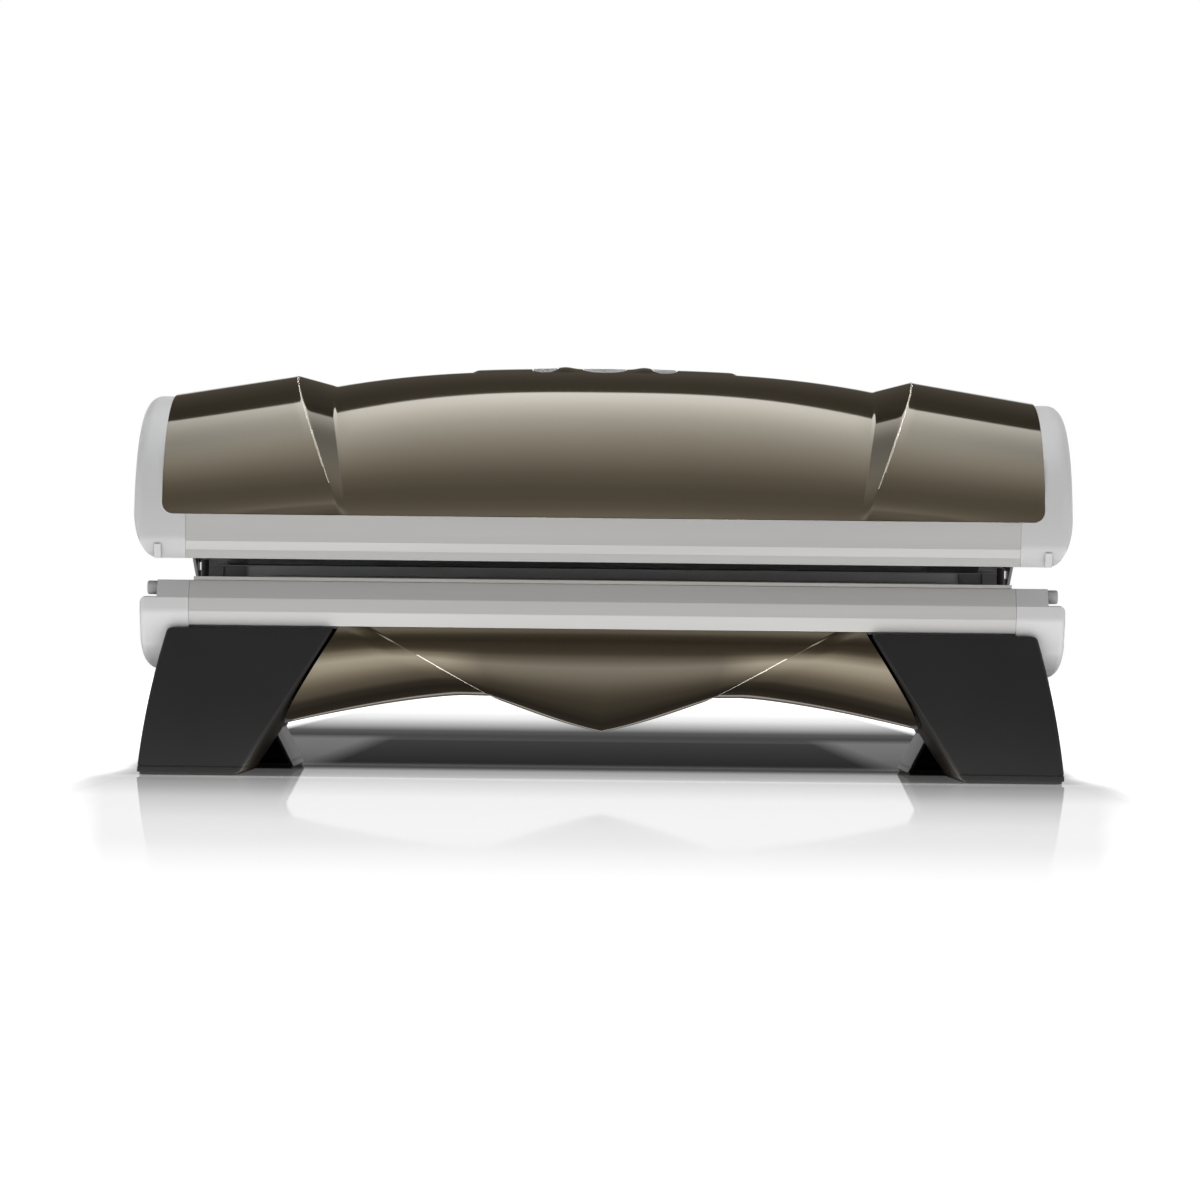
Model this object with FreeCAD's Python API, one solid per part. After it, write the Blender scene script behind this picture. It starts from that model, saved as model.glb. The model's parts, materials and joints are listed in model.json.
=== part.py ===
"""Clamshell tanning bed, closed. Millimetres, +Z up, +X along the bed, the user's side faces -Y.

The origin is on the floor under the middle of the bed. Names in capitals are the driving dimensions.
"""
import FreeCAD, Part
import math
import os
from FreeCAD import Vector

os.makedirs("parts", exist_ok=True)

# overall
DEPTH = 1180.0
SEAT_GAP = 0.3          # between pieces that are screwed face to face over curved or long faces
RUNNING_GAP = 0.05      # radial, pins and plungers
WALL = 6.0              # moulded shells and caps
SHEET = 2.0             # reflectors and trays

# levels
FLOOR_PAD_HEIGHT = 6.0
LEG_TOP = 352.0
BASE_RAIL_BOTTOM = 358.0
BASE_RAIL_FACE_LOW = 390.0
BASE_RAIL_FACE_HIGH = 422.0
BASE_RAIL_TOP = 465.0
CANOPY_GAP = 52.0
CANOPY_RAIL_BAND = 20.0
CANOPY_RAIL_BEVEL = 20.0
CANOPY_RAIL_FACE = 65.0
CANOPY_BOTTOM = BASE_RAIL_TOP + CANOPY_GAP
SHELL_BOTTOM = CANOPY_BOTTOM + CANOPY_RAIL_BAND + CANOPY_RAIL_BEVEL + CANOPY_RAIL_FACE

# canopy shell: heights of its crown and where its creases run, half lengths from the middle
CROWN_TOP = 1000.0
CROWN_DROP = 44.0
CROWN_POWER = 2.8
RIDGE_TOP = 981.0
END_TOP = 934.0
RIDGE_LOW_X = 627.0
RIDGE_TOP_X = 757.0
VALLEY_LOW_X = 612.0
VALLEY_TOP_X = 662.0
RIDGE_BULGE = 8.0
SHELL_STEP_BACK = 12.0      # shell stands this far behind the rail's face
ROUNDNESS = 2.5             # exponent of the canopy's and belly's section curve

# rails and caps
RAIL_THICK = 30.0
RAIL_WALL = 3.0
LIP = 25.0
BASE_RAIL_HALF_LENGTH = 985.0
CANOPY_OVERHANG = 9.0       # canopy rail past the base rail, each end
CANOPY_SHELL_PAST_RAIL = 56.0
CANOPY_CAP_PAST_RAIL = 127.0
CANOPY_CAP_TOP = 926.0
CAP_FILLET = 30.0
BASE_CAP_SHOULDER = 76.0    # past the base rail
BASE_CAP_LOBE = 118.0
BASE_CAP_SHOULDER_Z = 425.0
BASE_CAP_BOTTOM = 250.0
BASE_CAP_FILLET = 16.0
LOBE_CORNER = 17.0
BASE_CAP_ROUNDNESS = 3.5     # exponent of the base caps' section curve, squarer than the shells'
CAP_CORNER_RUN = 58.0        # the canopy cap's lower corner: along the bed and upwards
CAP_CORNER_RISE = 123.0
BOSS_RADIUS = 16.5
BOSS_LENGTH = 31.0
BOSS_Z = 446.6
BOSS_Y = -480.0

# belly: keel under the middle, arches each side, low ends against the legs
BELLY_STEP_BACK = 34.0
KEEL_BOTTOM = 104.0
KEEL_CREASE_BOTTOM = 179.0
KEEL_CREASE_X = 244.0
KEEL_CREASE_TOP_X = 560.0
ARCH_TOP = 192.0
ARCH_X = 344.0
BELLY_END_BOTTOM = 100.0
BELLY_END_X = 860.0
BELLY_LEG_GAP = 9.0

# legs
LEG_INNER_TOP_X = 640.0
LEG_INNER_FOOT_X = 861.0
LEG_TOP_PAST_RAIL = 49.0
LEG_FOOT_PAST_RAIL = 119.0
LEG_BOW = 9.0
LEG_WALL = 8.0
FRONT_LEG_PAST_MIDDLE = 60.0
REAR_LEG_SHORT_OF_MIDDLE = 110.0
REAR_LEG_KNEE = (821.0, 102.0)
REAR_LEG_TOE_X = 772.0
LEG_FILLET = 7.0
PAD_RADIUS = 24.0

# frames
TUBE = 40.0
TUBE_WALL = 2.5
BASE_TUBE_INSET = 90.0
BASE_TUBE_WIDE = 30.0
CANOPY_TUBE_WIDE = 29.0
CANOPY_TUBE_HIGH = 34.0
CROSS_INSET = 40.0
RIB_INSET = 5.0
RIB_WIDE = 36.0
RIB_DEEP = 28.0

# bench and canopy panels
PANEL_END_INSET = 10.0
PANEL_THICK = 6.0
PANEL_LIP_INSET = 60.0
BENCH_SAG = 62.0
CANOPY_RISE = 120.0
CONSOLE_LONG = 135.0
LAMP_RADIUS = 19.0
LAMP_LENGTH = 1760.0
LAMP_PIN_CAP = 20.0
LAMP_GAP = 6.0
BENCH_LAMPS = 11
CANOPY_LAMPS = 11
CANOPY_LAMP_SHIFT = -45.0
HOLDER_LONG = 24.0
HOLDER_WIDE = 28.0
REFLECTOR_INSET = 140.0
OUTER_LAMP_INSET = 60.0
TRAY_HALF_LENGTH = 600.0
BALLAST_SIZE = (240.0, 62.0, 44.0)
BASE_BALLAST_Y = 220.0
CANOPY_BALLAST_Y = 150.0
CANOPY_TRAY_HALF_WIDTH = 250.0
GEAR_BOX_SIZE = (200.0, 140.0, 50.0)

# hinge and gas springs
HINGE_INSET = 30.0
HINGE_PIN_RADIUS = 8.0
BRACKET_PAST_RAIL = 56.0
PLATE_GAP = 2.0
PLATE_THICK = 7.0
SPRING_TO_BRACKET = 17.0
SPRING_TO_HINGE = 160.0
SPRING_LOW_DROP = 111.0
SPRING_LENGTH = 240.0
SPRING_BODY_RADIUS = 10.0
SPRING_ROD_RADIUS = 5.0
SPRING_EYE_RADIUS = 15.0
SPRING_EYE_THICK = 16.0
STUD_RADIUS = 5.0
OPEN_EYE_BORE = 10.0
SPRING_BODY_LONG = 150.0

# fans
FAN_RADIUS = 90.0
FAN_DEEP = 34.0
FAN_WALL = 4.0
FAN_POST = 16.0
FAN_BELOW_VENTS = 4.0
SHELL_FALL_AT_FAN = 1.8
HUB_RADIUS = 28.0
BLADES = 7
BASE_FAN_X = 300.0
POST_RADIUS = 4.0

# cowl and vents
COWL_HALF_LENGTH = 332.0
COWL_HALF_WIDTH = 235.0
COWL_THICK = 4.0
VENT_Y = -115.0            # the vents lie ahead of the crest, so their far walls face the user
VENT_HALF_WIDTH = 85.0
VENT_CORNER = 14.0
COWL_CORNER = 110.0
MIDDLE_VENT_HALF = 58.0
SIDE_VENT_X = 147.0
SIDE_VENT_HALF = 35.0
GRILLE_BAR = 3.0
GRILLE_PITCH = 14.0
GRILLE_DEEP = 22.0
LINER = 2.0

# console, buttons and air nozzle
CONSOLE_PAD_INSET = 75.0
CONSOLE_PAD_SIZE = (100.0, 330.0, 24.0)
CONSOLE_PAD_LOW = 628.0
BUTTON_RADIUS = 11.0
BUTTON_PROUD = 4.0
BUTTON_TRAVEL = 1.5
BUTTON_FLANGE = 3.0
BUTTON_FLANGE_RADIUS = 14.0
BUTTON_NAMES = ("power_button", "canopy_fan_button", "base_fan_button", "timer_button")
BUTTON_PITCH = 42.0
BUTTON_FIRST_Y = -20.0
NOZZLE_RADIUS = 20.0
NOZZLE_BORE = 11.0
NOZZLE_Y = -105.0
NOZZLE_RISE = 12.0
HINGE_COVER_LONG = 110.0
HINGE_COVER_CLEARANCE = 6.0
HINGE_COVER_NOTCH = 6.0
GAP_BACK_THICK = 12.0
GAP_BACK_CLEARANCE = 0.6

# mains gland in the belly's rear wall
GLAND_SPOT = (-500.0, 300.0)
GLAND_RADIUS = 12.0

# places that follow from the sizes above
BASE_CAP_SHOULDER_X = BASE_RAIL_HALF_LENGTH + BASE_CAP_SHOULDER
BASE_CAP_HALF_LENGTH = BASE_RAIL_HALF_LENGTH + BASE_CAP_LOBE
CANOPY_RAIL_HALF_LENGTH = BASE_RAIL_HALF_LENGTH + CANOPY_OVERHANG
SHELL_HALF_LENGTH = CANOPY_RAIL_HALF_LENGTH + CANOPY_SHELL_PAST_RAIL
CANOPY_CAP_HALF_LENGTH = CANOPY_RAIL_HALF_LENGTH + CANOPY_CAP_PAST_RAIL
LEG_OUTER_TOP_X = BASE_RAIL_HALF_LENGTH + LEG_TOP_PAST_RAIL
LEG_OUTER_FOOT_X = BASE_RAIL_HALF_LENGTH + LEG_FOOT_PAST_RAIL
FRONT_LEG_DEPTH = DEPTH / 2 + FRONT_LEG_PAST_MIDDLE
REAR_LEG_DEPTH = DEPTH / 2 - REAR_LEG_SHORT_OF_MIDDLE
BRACKET_X = BASE_RAIL_HALF_LENGTH + BRACKET_PAST_RAIL
ARM_X = BRACKET_X + PLATE_THICK + PLATE_GAP
SPRING_X = BRACKET_X - SPRING_TO_BRACKET
BASE_TUBE_END = BRACKET_X - SEAT_GAP
CANOPY_TUBE_END = ARM_X - SEAT_GAP
BASE_TUBE_Y = DEPTH / 2 - BASE_TUBE_INSET
CROSS_X = BASE_RAIL_HALF_LENGTH - CROSS_INSET
PANEL_HALF_LENGTH = BASE_RAIL_HALF_LENGTH - PANEL_END_INSET
PANEL_ARC_HALF = DEPTH / 2 - PANEL_LIP_INSET
CANOPY_RIB_X = PANEL_HALF_LENGTH - RIB_INSET
CONSOLE_START = PANEL_HALF_LENGTH - CONSOLE_LONG
CONSOLE_PAD_X = CONSOLE_START + CONSOLE_PAD_INSET
REFLECTOR_HALF = DEPTH / 2 - REFLECTOR_INSET
HINGE_Y = DEPTH / 2 - HINGE_INSET
HINGE_Z = BASE_RAIL_TOP + CANOPY_GAP / 2
SPRING_Y = HINGE_Y - SPRING_TO_HINGE
SPRING_LOW_Z = HINGE_Z - SPRING_LOW_DROP
SPRING_HIGH_Z = SPRING_LOW_Z + SPRING_LENGTH
SPRING_BODY_TOP = SPRING_LOW_Z + SPRING_BODY_LONG
NOZZLE_Z = CONSOLE_PAD_LOW + NOZZLE_RISE

FRONT = -DEPTH / 2
SHELL_HALF = DEPTH / 2 - SHELL_STEP_BACK
BELLY_HALF = DEPTH / 2 - BELLY_STEP_BACK
RAIL_BACK = FRONT + RAIL_THICK
BENCH_LIP_TOP = BASE_RAIL_TOP + PANEL_THICK
CANOPY_LIP_LOW = CANOPY_BOTTOM + SHEET


# ---- small helpers -------------------------------------------------------------------------------

def block(x0, x1, y0, y1, z0, z1):
    return Part.makeBox(x1 - x0, y1 - y0, z1 - z0, Vector(x0, y0, z0))


def rod(start, axis, radius, length):
    return Part.makeCylinder(radius, length, Vector(*start), Vector(*axis))


def prism_x(outline, x0, x1):
    """Solid along X from a closed outline of (y, z) points."""
    points = [Vector(x0, y, z) for y, z in outline]
    return Part.Face(Part.makePolygon(points + points[:1])).extrude(Vector(x1 - x0, 0, 0))


def mirrored(shape):
    return shape.mirror(Vector(0, 0, 0), Vector(1, 0, 0))


def turned_round(shape):
    """The same piece on the far long side."""
    return shape.mirror(Vector(0, 0, 0), Vector(0, 1, 0))


def fused(shapes):
    whole = shapes[0].multiFuse(shapes[1:]).removeSplitter()
    return whole


def save(node, shapes):
    """Write one node; a list stays a group of separate solids."""
    pieces = shapes if isinstance(shapes, list) else [shapes]
    solids = [solid for piece in pieces for solid in piece.Solids]
    for solid in solids:
        if not solid.isValid() or solid.Volume <= 0:
            raise ValueError(f"{node} has a solid that isn't sound")
    whole = solids[0] if len(solids) == 1 else Part.makeCompound(solids)
    whole.exportStep(f"parts/{node}.step")


def save_pair(node, right_side):
    """Write a piece and its mirror image as NODE_right and NODE_left."""
    save(f"{node}_right", right_side)
    save(f"{node}_left", mirrored(right_side))


def save_both(node, right_side):
    """Write a piece and its mirror image as two solids of one node."""
    save(node, [right_side, mirrored(right_side)])


# ---- crowned shells: canopy and belly ------------------------------------------------------------

def section_edge(low_x, top_x, half, rise, level, up, bulge=0.0, roundness=ROUNDNESS):
    """Half-oval edge across the bed; it leans from low_x at its feet to top_x at its crown."""
    count = 17
    points = []
    for i in range(count):
        angle = math.pi * i / (count - 1)
        across, along = math.cos(angle), math.sin(angle)
        size = (abs(across) ** roundness + abs(along) ** roundness) ** (1 / roundness)
        lift = along / size if 0 < i < count - 1 else 0.0
        y = -half * across / size - bulge * math.sin(2 * angle)
        points.append(Vector(low_x + (top_x - low_x) * lift, y, level + up * rise * lift))
    curve = Part.BSplineCurve()
    curve.interpolate(Points=points, Parameters=[i / (count - 1) for i in range(count)])
    return curve.toShape()


def crowned_solid(groups):
    """Solid between section edges; each group is one smooth panel, and panels meet at creases."""
    faces = []
    edges = list(groups[0][:1])
    for group in groups:
        faces += Part.makeLoft([Part.Wire([edge]) for edge in group], False, len(group) == 2).Faces
        edges += group[1:]
    for edge in (edges[0], edges[-1]):
        chord = Part.makeLine(edge.Vertexes[-1].Point, edge.Vertexes[0].Point)
        faces.append(Part.Face(Part.Wire([edge, chord])))
    feet = [edge.Vertexes[0].Point for edge in edges]
    far_feet = [edge.Vertexes[-1].Point for edge in reversed(edges)]
    faces.append(Part.Face(Part.makePolygon(feet + far_feet + feet[:1])))
    skin = Part.Compound(faces)
    skin.sewShape(0.01)
    solid = Part.Solid(skin.Shells[0])
    if solid.Volume < 0:
        solid.reverse()
    return solid


def both_ways(maker):
    return maker(-1), maker(1)


def canopy_form(inset, reach=0.0):
    """The canopy's outer form, drawn in by inset; reach lengthens it past its ends."""
    half = SHELL_HALF - inset

    def station(low_x, top_x, top, bulge=0.0):
        return section_edge(low_x, top_x, half, top - SHELL_BOTTOM - inset, SHELL_BOTTOM, 1, bulge)

    def crown(x):
        return CROWN_TOP - CROWN_DROP * (abs(x) / VALLEY_TOP_X) ** CROWN_POWER

    end_x = SHELL_HALF_LENGTH + reach
    end = both_ways(lambda s: station(s * end_x, s * end_x, END_TOP))
    ridge = both_ways(lambda s: station(s * RIDGE_LOW_X, s * RIDGE_TOP_X, RIDGE_TOP, RIDGE_BULGE))
    valley = both_ways(lambda s: station(s * VALLEY_LOW_X, s * VALLEY_TOP_X, crown(VALLEY_TOP_X)))
    spacing = VALLEY_TOP_X / 3
    middle = [station(k * spacing, k * spacing, crown(k * spacing)) for k in (-2, -1, 0, 1, 2)]
    return crowned_solid([[end[0], ridge[0]], [ridge[0], valley[0]], [valley[0]] + middle + [valley[1]],
                          [valley[1], ridge[1]], [ridge[1], end[1]]])


def belly_form(inset, reach=0.0):
    """The belly's outer form: a keel panel between two creases, and an arched panel each side."""
    half = BELLY_HALF - inset
    level = BASE_RAIL_BOTTOM - SEAT_GAP

    def station(low_x, top_x, bottom):
        return section_edge(low_x, top_x, half, level - bottom - inset, level, -1)

    def arch(x):
        share = (x - ARCH_X) / (BELLY_END_X - ARCH_X)
        return ARCH_TOP - (ARCH_TOP - BELLY_END_BOTTOM) * share ** 1.4

    end_x = BELLY_END_X + reach
    crease = both_ways(lambda s: station(s * KEEL_CREASE_TOP_X, s * KEEL_CREASE_X, KEEL_CREASE_BOTTOM))
    keel_x = KEEL_CREASE_X * 0.45
    keel_low = KEEL_BOTTOM + (KEEL_CREASE_BOTTOM - KEEL_BOTTOM) * 0.36
    keel = [station(-keel_x * 2, -keel_x, keel_low), station(0, 0, KEEL_BOTTOM),
            station(keel_x * 2, keel_x, keel_low)]
    side = []
    for s in (-1, 1):
        near = station(s * (KEEL_CREASE_TOP_X + 60), s * ARCH_X, ARCH_TOP)
        mid_x = (ARCH_X + BELLY_END_X) / 2
        mid = station(s * (mid_x + 90), s * mid_x, arch(mid_x))
        end = station(s * end_x, s * end_x, BELLY_END_BOTTOM)
        side.append([near, mid, end])
    left, right = side
    return crowned_solid([[left[2], left[1], left[0], crease[0]], [crease[0], keel[0], keel[1]],
                          [keel[1], keel[2], crease[1]], [crease[1], right[0], right[1], right[2]]])


def leg_slope_block(x_offset):
    """Everything outside the front leg's slanted inner face, moved in by x_offset."""
    run = (LEG_INNER_FOOT_X - LEG_INNER_TOP_X) / (LEG_TOP - FLOOR_PAD_HEIGHT)
    high = BASE_RAIL_BOTTOM + 10
    low = 0.0
    top_x = LEG_INNER_TOP_X - x_offset - run * (high - LEG_TOP)
    low_x = LEG_INNER_FOOT_X - x_offset + run * (FLOOR_PAD_HEIGHT - low)
    far = CANOPY_CAP_HALF_LENGTH + 100
    corners = [(top_x, high), (far, high), (far, low), (low_x, low)]
    points = [Vector(x, -DEPTH, z) for x, z in corners]
    return Part.Face(Part.makePolygon(points + points[:1])).extrude(Vector(0, 2 * DEPTH, 0))


def vent_slot(x, half, inset=0.0):
    """Rounded slot straight down through the canopy's crown."""
    wide = VENT_HALF_WIDTH - inset
    slot = block(x - half + inset, x + half - inset, VENT_Y - wide, VENT_Y + wide,
                 CROWN_TOP - 60, CROWN_TOP + 60)
    upright = [e for e in slot.Edges if abs(e.tangentAt(e.FirstParameter).z) > 0.9]
    return slot.makeFillet(VENT_CORNER - inset, upright)


VENTS = ((0, MIDDLE_VENT_HALF), (-SIDE_VENT_X, SIDE_VENT_HALF), (SIDE_VENT_X, SIDE_VENT_HALF))


def canopy_shell_and_cowl():
    outer = canopy_form(0)
    slots = Part.makeCompound([vent_slot(x, half) for x, half in VENTS])
    shell = outer.cut(canopy_form(WALL, 20)).cut(slots)
    area = block(-COWL_HALF_LENGTH, COWL_HALF_LENGTH, -COWL_HALF_WIDTH, COWL_HALF_WIDTH,
                 CROWN_TOP - 100, CROWN_TOP + 50)
    upright = [e for e in area.Edges if abs(e.tangentAt(e.FirstParameter).z) > 0.9]
    area = area.makeFillet(COWL_CORNER, upright)
    cowl = canopy_form(-COWL_THICK).common(area).cut(outer).cut(slots)
    ends = block(-SHELL_HALF_LENGTH, SHELL_HALF_LENGTH, -DEPTH, DEPTH, 0, 2 * CROWN_TOP)
    save("canopy_shell", shell.common(ends))
    save("vent_cowl", cowl)


def belly_shell():
    shell = belly_form(0).cut(belly_form(WALL, 40))
    cutter = leg_slope_block(BELLY_LEG_GAP)
    shell = shell.cut(cutter).cut(mirrored(cutter))
    x, z = GLAND_SPOT
    save("base_belly_shell", shell.cut(rod((x, BELLY_HALF - 60, z), (0, 1, 0), GLAND_RADIUS + SEAT_GAP, 120)))


def vent_grilles():
    """A liner inside each vent's wall with louvre bars across its foot."""
    grilles = []
    foot = CROWN_TOP - WALL - GRILLE_DEEP
    above = canopy_form(0)
    for x, half in VENTS:
        liner = vent_slot(x, half, SEAT_GAP).cut(vent_slot(x, half, LINER)).common(above)
        liner = liner.common(block(x - half, x + half, -DEPTH, DEPTH, foot, 2 * CROWN_TOP))
        bars = [liner]
        reach = half - LINER / 2
        count = int((2 * (VENT_HALF_WIDTH - VENT_CORNER) - GRILLE_BAR) / GRILLE_PITCH)
        for i in range(count):
            y = VENT_Y + (i - (count - 1) / 2) * GRILLE_PITCH
            bars.append(block(x - reach, x + reach, y - GRILLE_BAR / 2, y + GRILLE_BAR / 2, foot, foot + 8))
        grilles.append(fused(bars))
    save("vent_grilles", grilles)


# ---- rails and caps ------------------------------------------------------------------------------

def base_rail_outline():
    chamfer = RAIL_THICK
    return [(FRONT + chamfer, BASE_RAIL_TOP), (FRONT + chamfer + 15, BASE_RAIL_TOP),
            (FRONT + chamfer + 15, BASE_RAIL_BOTTOM), (FRONT + 16, BASE_RAIL_BOTTOM),
            (FRONT, BASE_RAIL_FACE_LOW), (FRONT, BASE_RAIL_FACE_HIGH)]


def canopy_rail_outline():
    bevel_low = CANOPY_BOTTOM + CANOPY_RAIL_BAND
    bevel_high = bevel_low + CANOPY_RAIL_BEVEL
    lip_y = RAIL_BACK + LIP
    return [(FRONT + 14, CANOPY_BOTTOM), (lip_y, CANOPY_BOTTOM), (lip_y, CANOPY_LIP_LOW),
            (RAIL_BACK, CANOPY_LIP_LOW), (RAIL_BACK, SHELL_BOTTOM - SEAT_GAP),
            (FRONT, SHELL_BOTTOM - SEAT_GAP), (FRONT, bevel_high), (FRONT + 12, bevel_low)]


def rails():
    length = BASE_RAIL_HALF_LENGTH - SEAT_GAP
    hollow = block(-length, length, FRONT + 10, RAIL_BACK + 15 - RAIL_WALL,
                   BASE_RAIL_FACE_LOW - 8, BASE_RAIL_FACE_HIGH + 8)
    rail = prism_x(base_rail_outline(), -length, length).cut(hollow)
    save("base_front_rail", rail)
    save("base_rear_rail", turned_round(rail))
    length = CANOPY_RAIL_HALF_LENGTH - SEAT_GAP
    hollow = block(-length, length, FRONT + RAIL_WALL, RAIL_BACK - RAIL_WALL,
                   CANOPY_BOTTOM + CANOPY_RAIL_BAND + CANOPY_RAIL_BEVEL, SHELL_BOTTOM - RAIL_WALL - SEAT_GAP)
    rail = prism_x(canopy_rail_outline(), -length, length).cut(hollow)
    save("canopy_front_rail", rail)
    save("canopy_rear_rail", turned_round(rail))


def oval_wire(x, half, level, rise, up, foot_half, foot_level, roundness):
    """Outline across the bed at x: an oval side from level, closed by a flat foot at foot_level."""
    arc = section_edge(x, x, half, rise, level, up, 0.0, roundness)
    corners = [Vector(x, half, level), Vector(x, foot_half, foot_level),
               Vector(x, -foot_half, foot_level), Vector(x, -half, level)]
    return Part.Wire([arc] + [Part.makeLine(corners[i], corners[i + 1]) for i in range(3)])


def oval_prism(x0, x1, half, level, rise, up, foot_half, foot_level, roundness):
    outline = oval_wire(x0, half, level, rise, up, foot_half, foot_level, roundness)
    return Part.Face(outline).extrude(Vector(x1 - x0, 0, 0))


def rounded_cap(x0, x1, half, level, rise, up, foot_half, foot_level, radius, roundness):
    """An oval prism whose far end is rounded over by radius."""
    steps = [(0.0, None)] + [(radius * (1 - math.cos(math.radians(a))), radius * math.sin(math.radians(a)))
                             for a in (0, 25, 50, 72)]
    wires = []
    for inset, along in steps:
        x = x0 if along is None else x1 - radius + along
        foot = foot_level + up * inset
        wires.append(oval_wire(x, half - inset, level, rise - inset, up, foot_half - inset, foot, roundness))
    return Part.makeLoft(wires, True, True)


def outer_rim(solid, x, low, high):
    """Edges of the end face at x between two heights."""
    rim = []
    for edge in solid.Edges:
        box = edge.BoundBox
        if abs(box.XMin - x) < 0.01 and abs(box.XMax - x) < 0.01 and box.ZMin > low and box.ZMax < high:
            rim.append(edge)
    return rim


def canopy_cap_form(start, inset):
    bevel_high = CANOPY_BOTTOM + CANOPY_RAIL_BAND + CANOPY_RAIL_BEVEL
    half = DEPTH / 2 - inset
    cap = rounded_cap(start, CANOPY_CAP_HALF_LENGTH - inset, half, bevel_high,
                      CANOPY_CAP_TOP - bevel_high - inset, 1, half - 14, CANOPY_BOTTOM + inset,
                      CAP_FILLET - inset, ROUNDNESS)
    return cap.cut(under_cap_corner(inset))


def under_cap_corner(inset):
    """The space outside the canopy cap's long lower corner, to be cut off it."""
    face, foot = CANOPY_CAP_HALF_LENGTH - inset, CANOPY_BOTTOM + inset
    start = Vector(face - CAP_CORNER_RUN, -DEPTH, foot)
    end = Vector(face, -DEPTH, foot + CAP_CORNER_RISE)
    belly = Vector(face - CAP_CORNER_RUN / 3, -DEPTH, foot + CAP_CORNER_RISE * 0.4)
    outside = [end, end + Vector(50, 0, 0), Vector(face + 50, -DEPTH, foot - 50),
               start - Vector(0, 0, 50), start]
    sides = [Part.makeLine(outside[i], outside[i + 1]) for i in range(4)]
    outline = Part.Wire([Part.Arc(start, belly, end).toShape()] + sides)
    return Part.Face(outline).extrude(Vector(0, 2 * DEPTH, 0))


def canopy_end_cap():
    outer = canopy_cap_form(CANOPY_RAIL_HALF_LENGTH, 0)
    inner = canopy_cap_form(CANOPY_RAIL_HALF_LENGTH - 20, WALL)
    over_shell = block(0, SHELL_HALF_LENGTH + 1, -DEPTH, DEPTH, SHELL_BOTTOM - SEAT_GAP, 2 * CROWN_TOP)
    slot = block(SPRING_X - 16, ARM_X + PLATE_THICK + 3, SPRING_Y - 60, DEPTH, CANOPY_BOTTOM - 5,
                 CANOPY_BOTTOM + 13)
    return outer.cut(inner).cut(over_shell).cut(slot)


def base_cap_form(inset):
    half = DEPTH / 2 - inset
    start = BASE_RAIL_HALF_LENGTH - (20 if inset > 0 else 0)
    rise = BASE_RAIL_FACE_HIGH - BASE_CAP_BOTTOM - inset
    shoulder = oval_prism(start, BASE_CAP_SHOULDER_X - inset, half, BASE_RAIL_FACE_HIGH, rise, -1,
                          half - RAIL_THICK, BASE_RAIL_TOP - inset, BASE_CAP_ROUNDNESS)
    lobe = rounded_cap(start, BASE_CAP_HALF_LENGTH - inset, half, BASE_RAIL_FACE_HIGH, rise, -1,
                       half - RAIL_THICK, BASE_RAIL_TOP - inset, BASE_CAP_FILLET - inset,
                       BASE_CAP_ROUNDNESS)
    return shoulder.fuse(lobe.common(below_lobe_top(inset)))


def below_lobe_top(inset):
    """The space that the lobe may fill, rounded over at the lobe's top outer edge."""
    face, top = BASE_CAP_HALF_LENGTH - inset, BASE_CAP_SHOULDER_Z - inset
    space = block(0, face, -DEPTH, DEPTH, 0, top)
    at_corner = [edge.BoundBox.XMin > face - 0.01 and edge.BoundBox.ZMin > top - 0.01 for edge in space.Edges]
    return space.makeFillet(LOBE_CORNER - inset, [space.Edges[at_corner.index(True)]])


def base_end_cap():
    slot = block(SPRING_X - 16, BRACKET_X + PLATE_THICK + 2, SPRING_Y - 20, DEPTH,
                 BASE_RAIL_TOP - 40, BASE_RAIL_TOP + 5)
    return base_cap_form(0).cut(base_cap_form(WALL)).cut(slot)


def cap_boss():
    """Round cover over the cap's fixing, on the shoulder's outer face."""
    boss = rod((BASE_CAP_SHOULDER_X, BOSS_Y, BOSS_Z), (1, 0, 0), BOSS_RADIUS, BOSS_LENGTH)
    rim = outer_rim(boss, BASE_CAP_SHOULDER_X + BOSS_LENGTH, 0, 2000)
    return boss.makeFillet(3.0, rim)


def cap_tab():
    """Small cover under the front of each canopy cap."""
    x = CANOPY_CAP_HALF_LENGTH - 70
    return block(x - 9, x + 9, FRONT + 8, FRONT + 14.0 + 40, CANOPY_BOTTOM - 4, CANOPY_BOTTOM - 0.0)


def end_caps():
    save_pair("canopy_end_cap", canopy_end_cap())
    save_pair("base_end_cap", base_end_cap())
    save_both("base_cap_bosses", cap_boss())
    save_both("canopy_cap_tabs", cap_tab())


# ---- legs ----------------------------------------------------------------------------------------

def leg_prism(corners, bow_from, bow_to, y0, y1, inset=0.0):
    """Upright slab along Y from (x, z) corners; its outer edge bows outwards."""
    mid = ((bow_from[0] + bow_to[0]) / 2 + LEG_BOW, (bow_from[1] + bow_to[1]) / 2 + LEG_BOW / 5)
    here = [Vector(x, y0, z) for x, z in corners]
    lines = [Part.makeLine(here[i], here[i + 1]) for i in range(len(here) - 1)]
    arc = Part.Arc(here[-1], Vector(mid[0] - inset, y0, mid[1]), here[0]).toShape()
    return Part.Face(Part.Wire(lines + [arc])).extrude(Vector(0, y1 - y0, 0))


def leg_corners(inner, inset):
    """Outline from the outer top round the inner side to the outer foot."""
    low, high = FLOOR_PAD_HEIGHT + inset, LEG_TOP - inset
    outer_top = (LEG_OUTER_TOP_X - inset, high)
    outer_foot = (LEG_OUTER_FOOT_X - inset, low)
    return [outer_top] + [(x + inset, z) for x, z in inner(low, high)] + [outer_foot]


def front_inner(low, high):
    return [(LEG_INNER_TOP_X, high), (LEG_INNER_FOOT_X, low)]


def rear_inner(low, high):
    return [(LEG_INNER_TOP_X + 40, high), REAR_LEG_KNEE, (REAR_LEG_TOE_X, low)]


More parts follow.
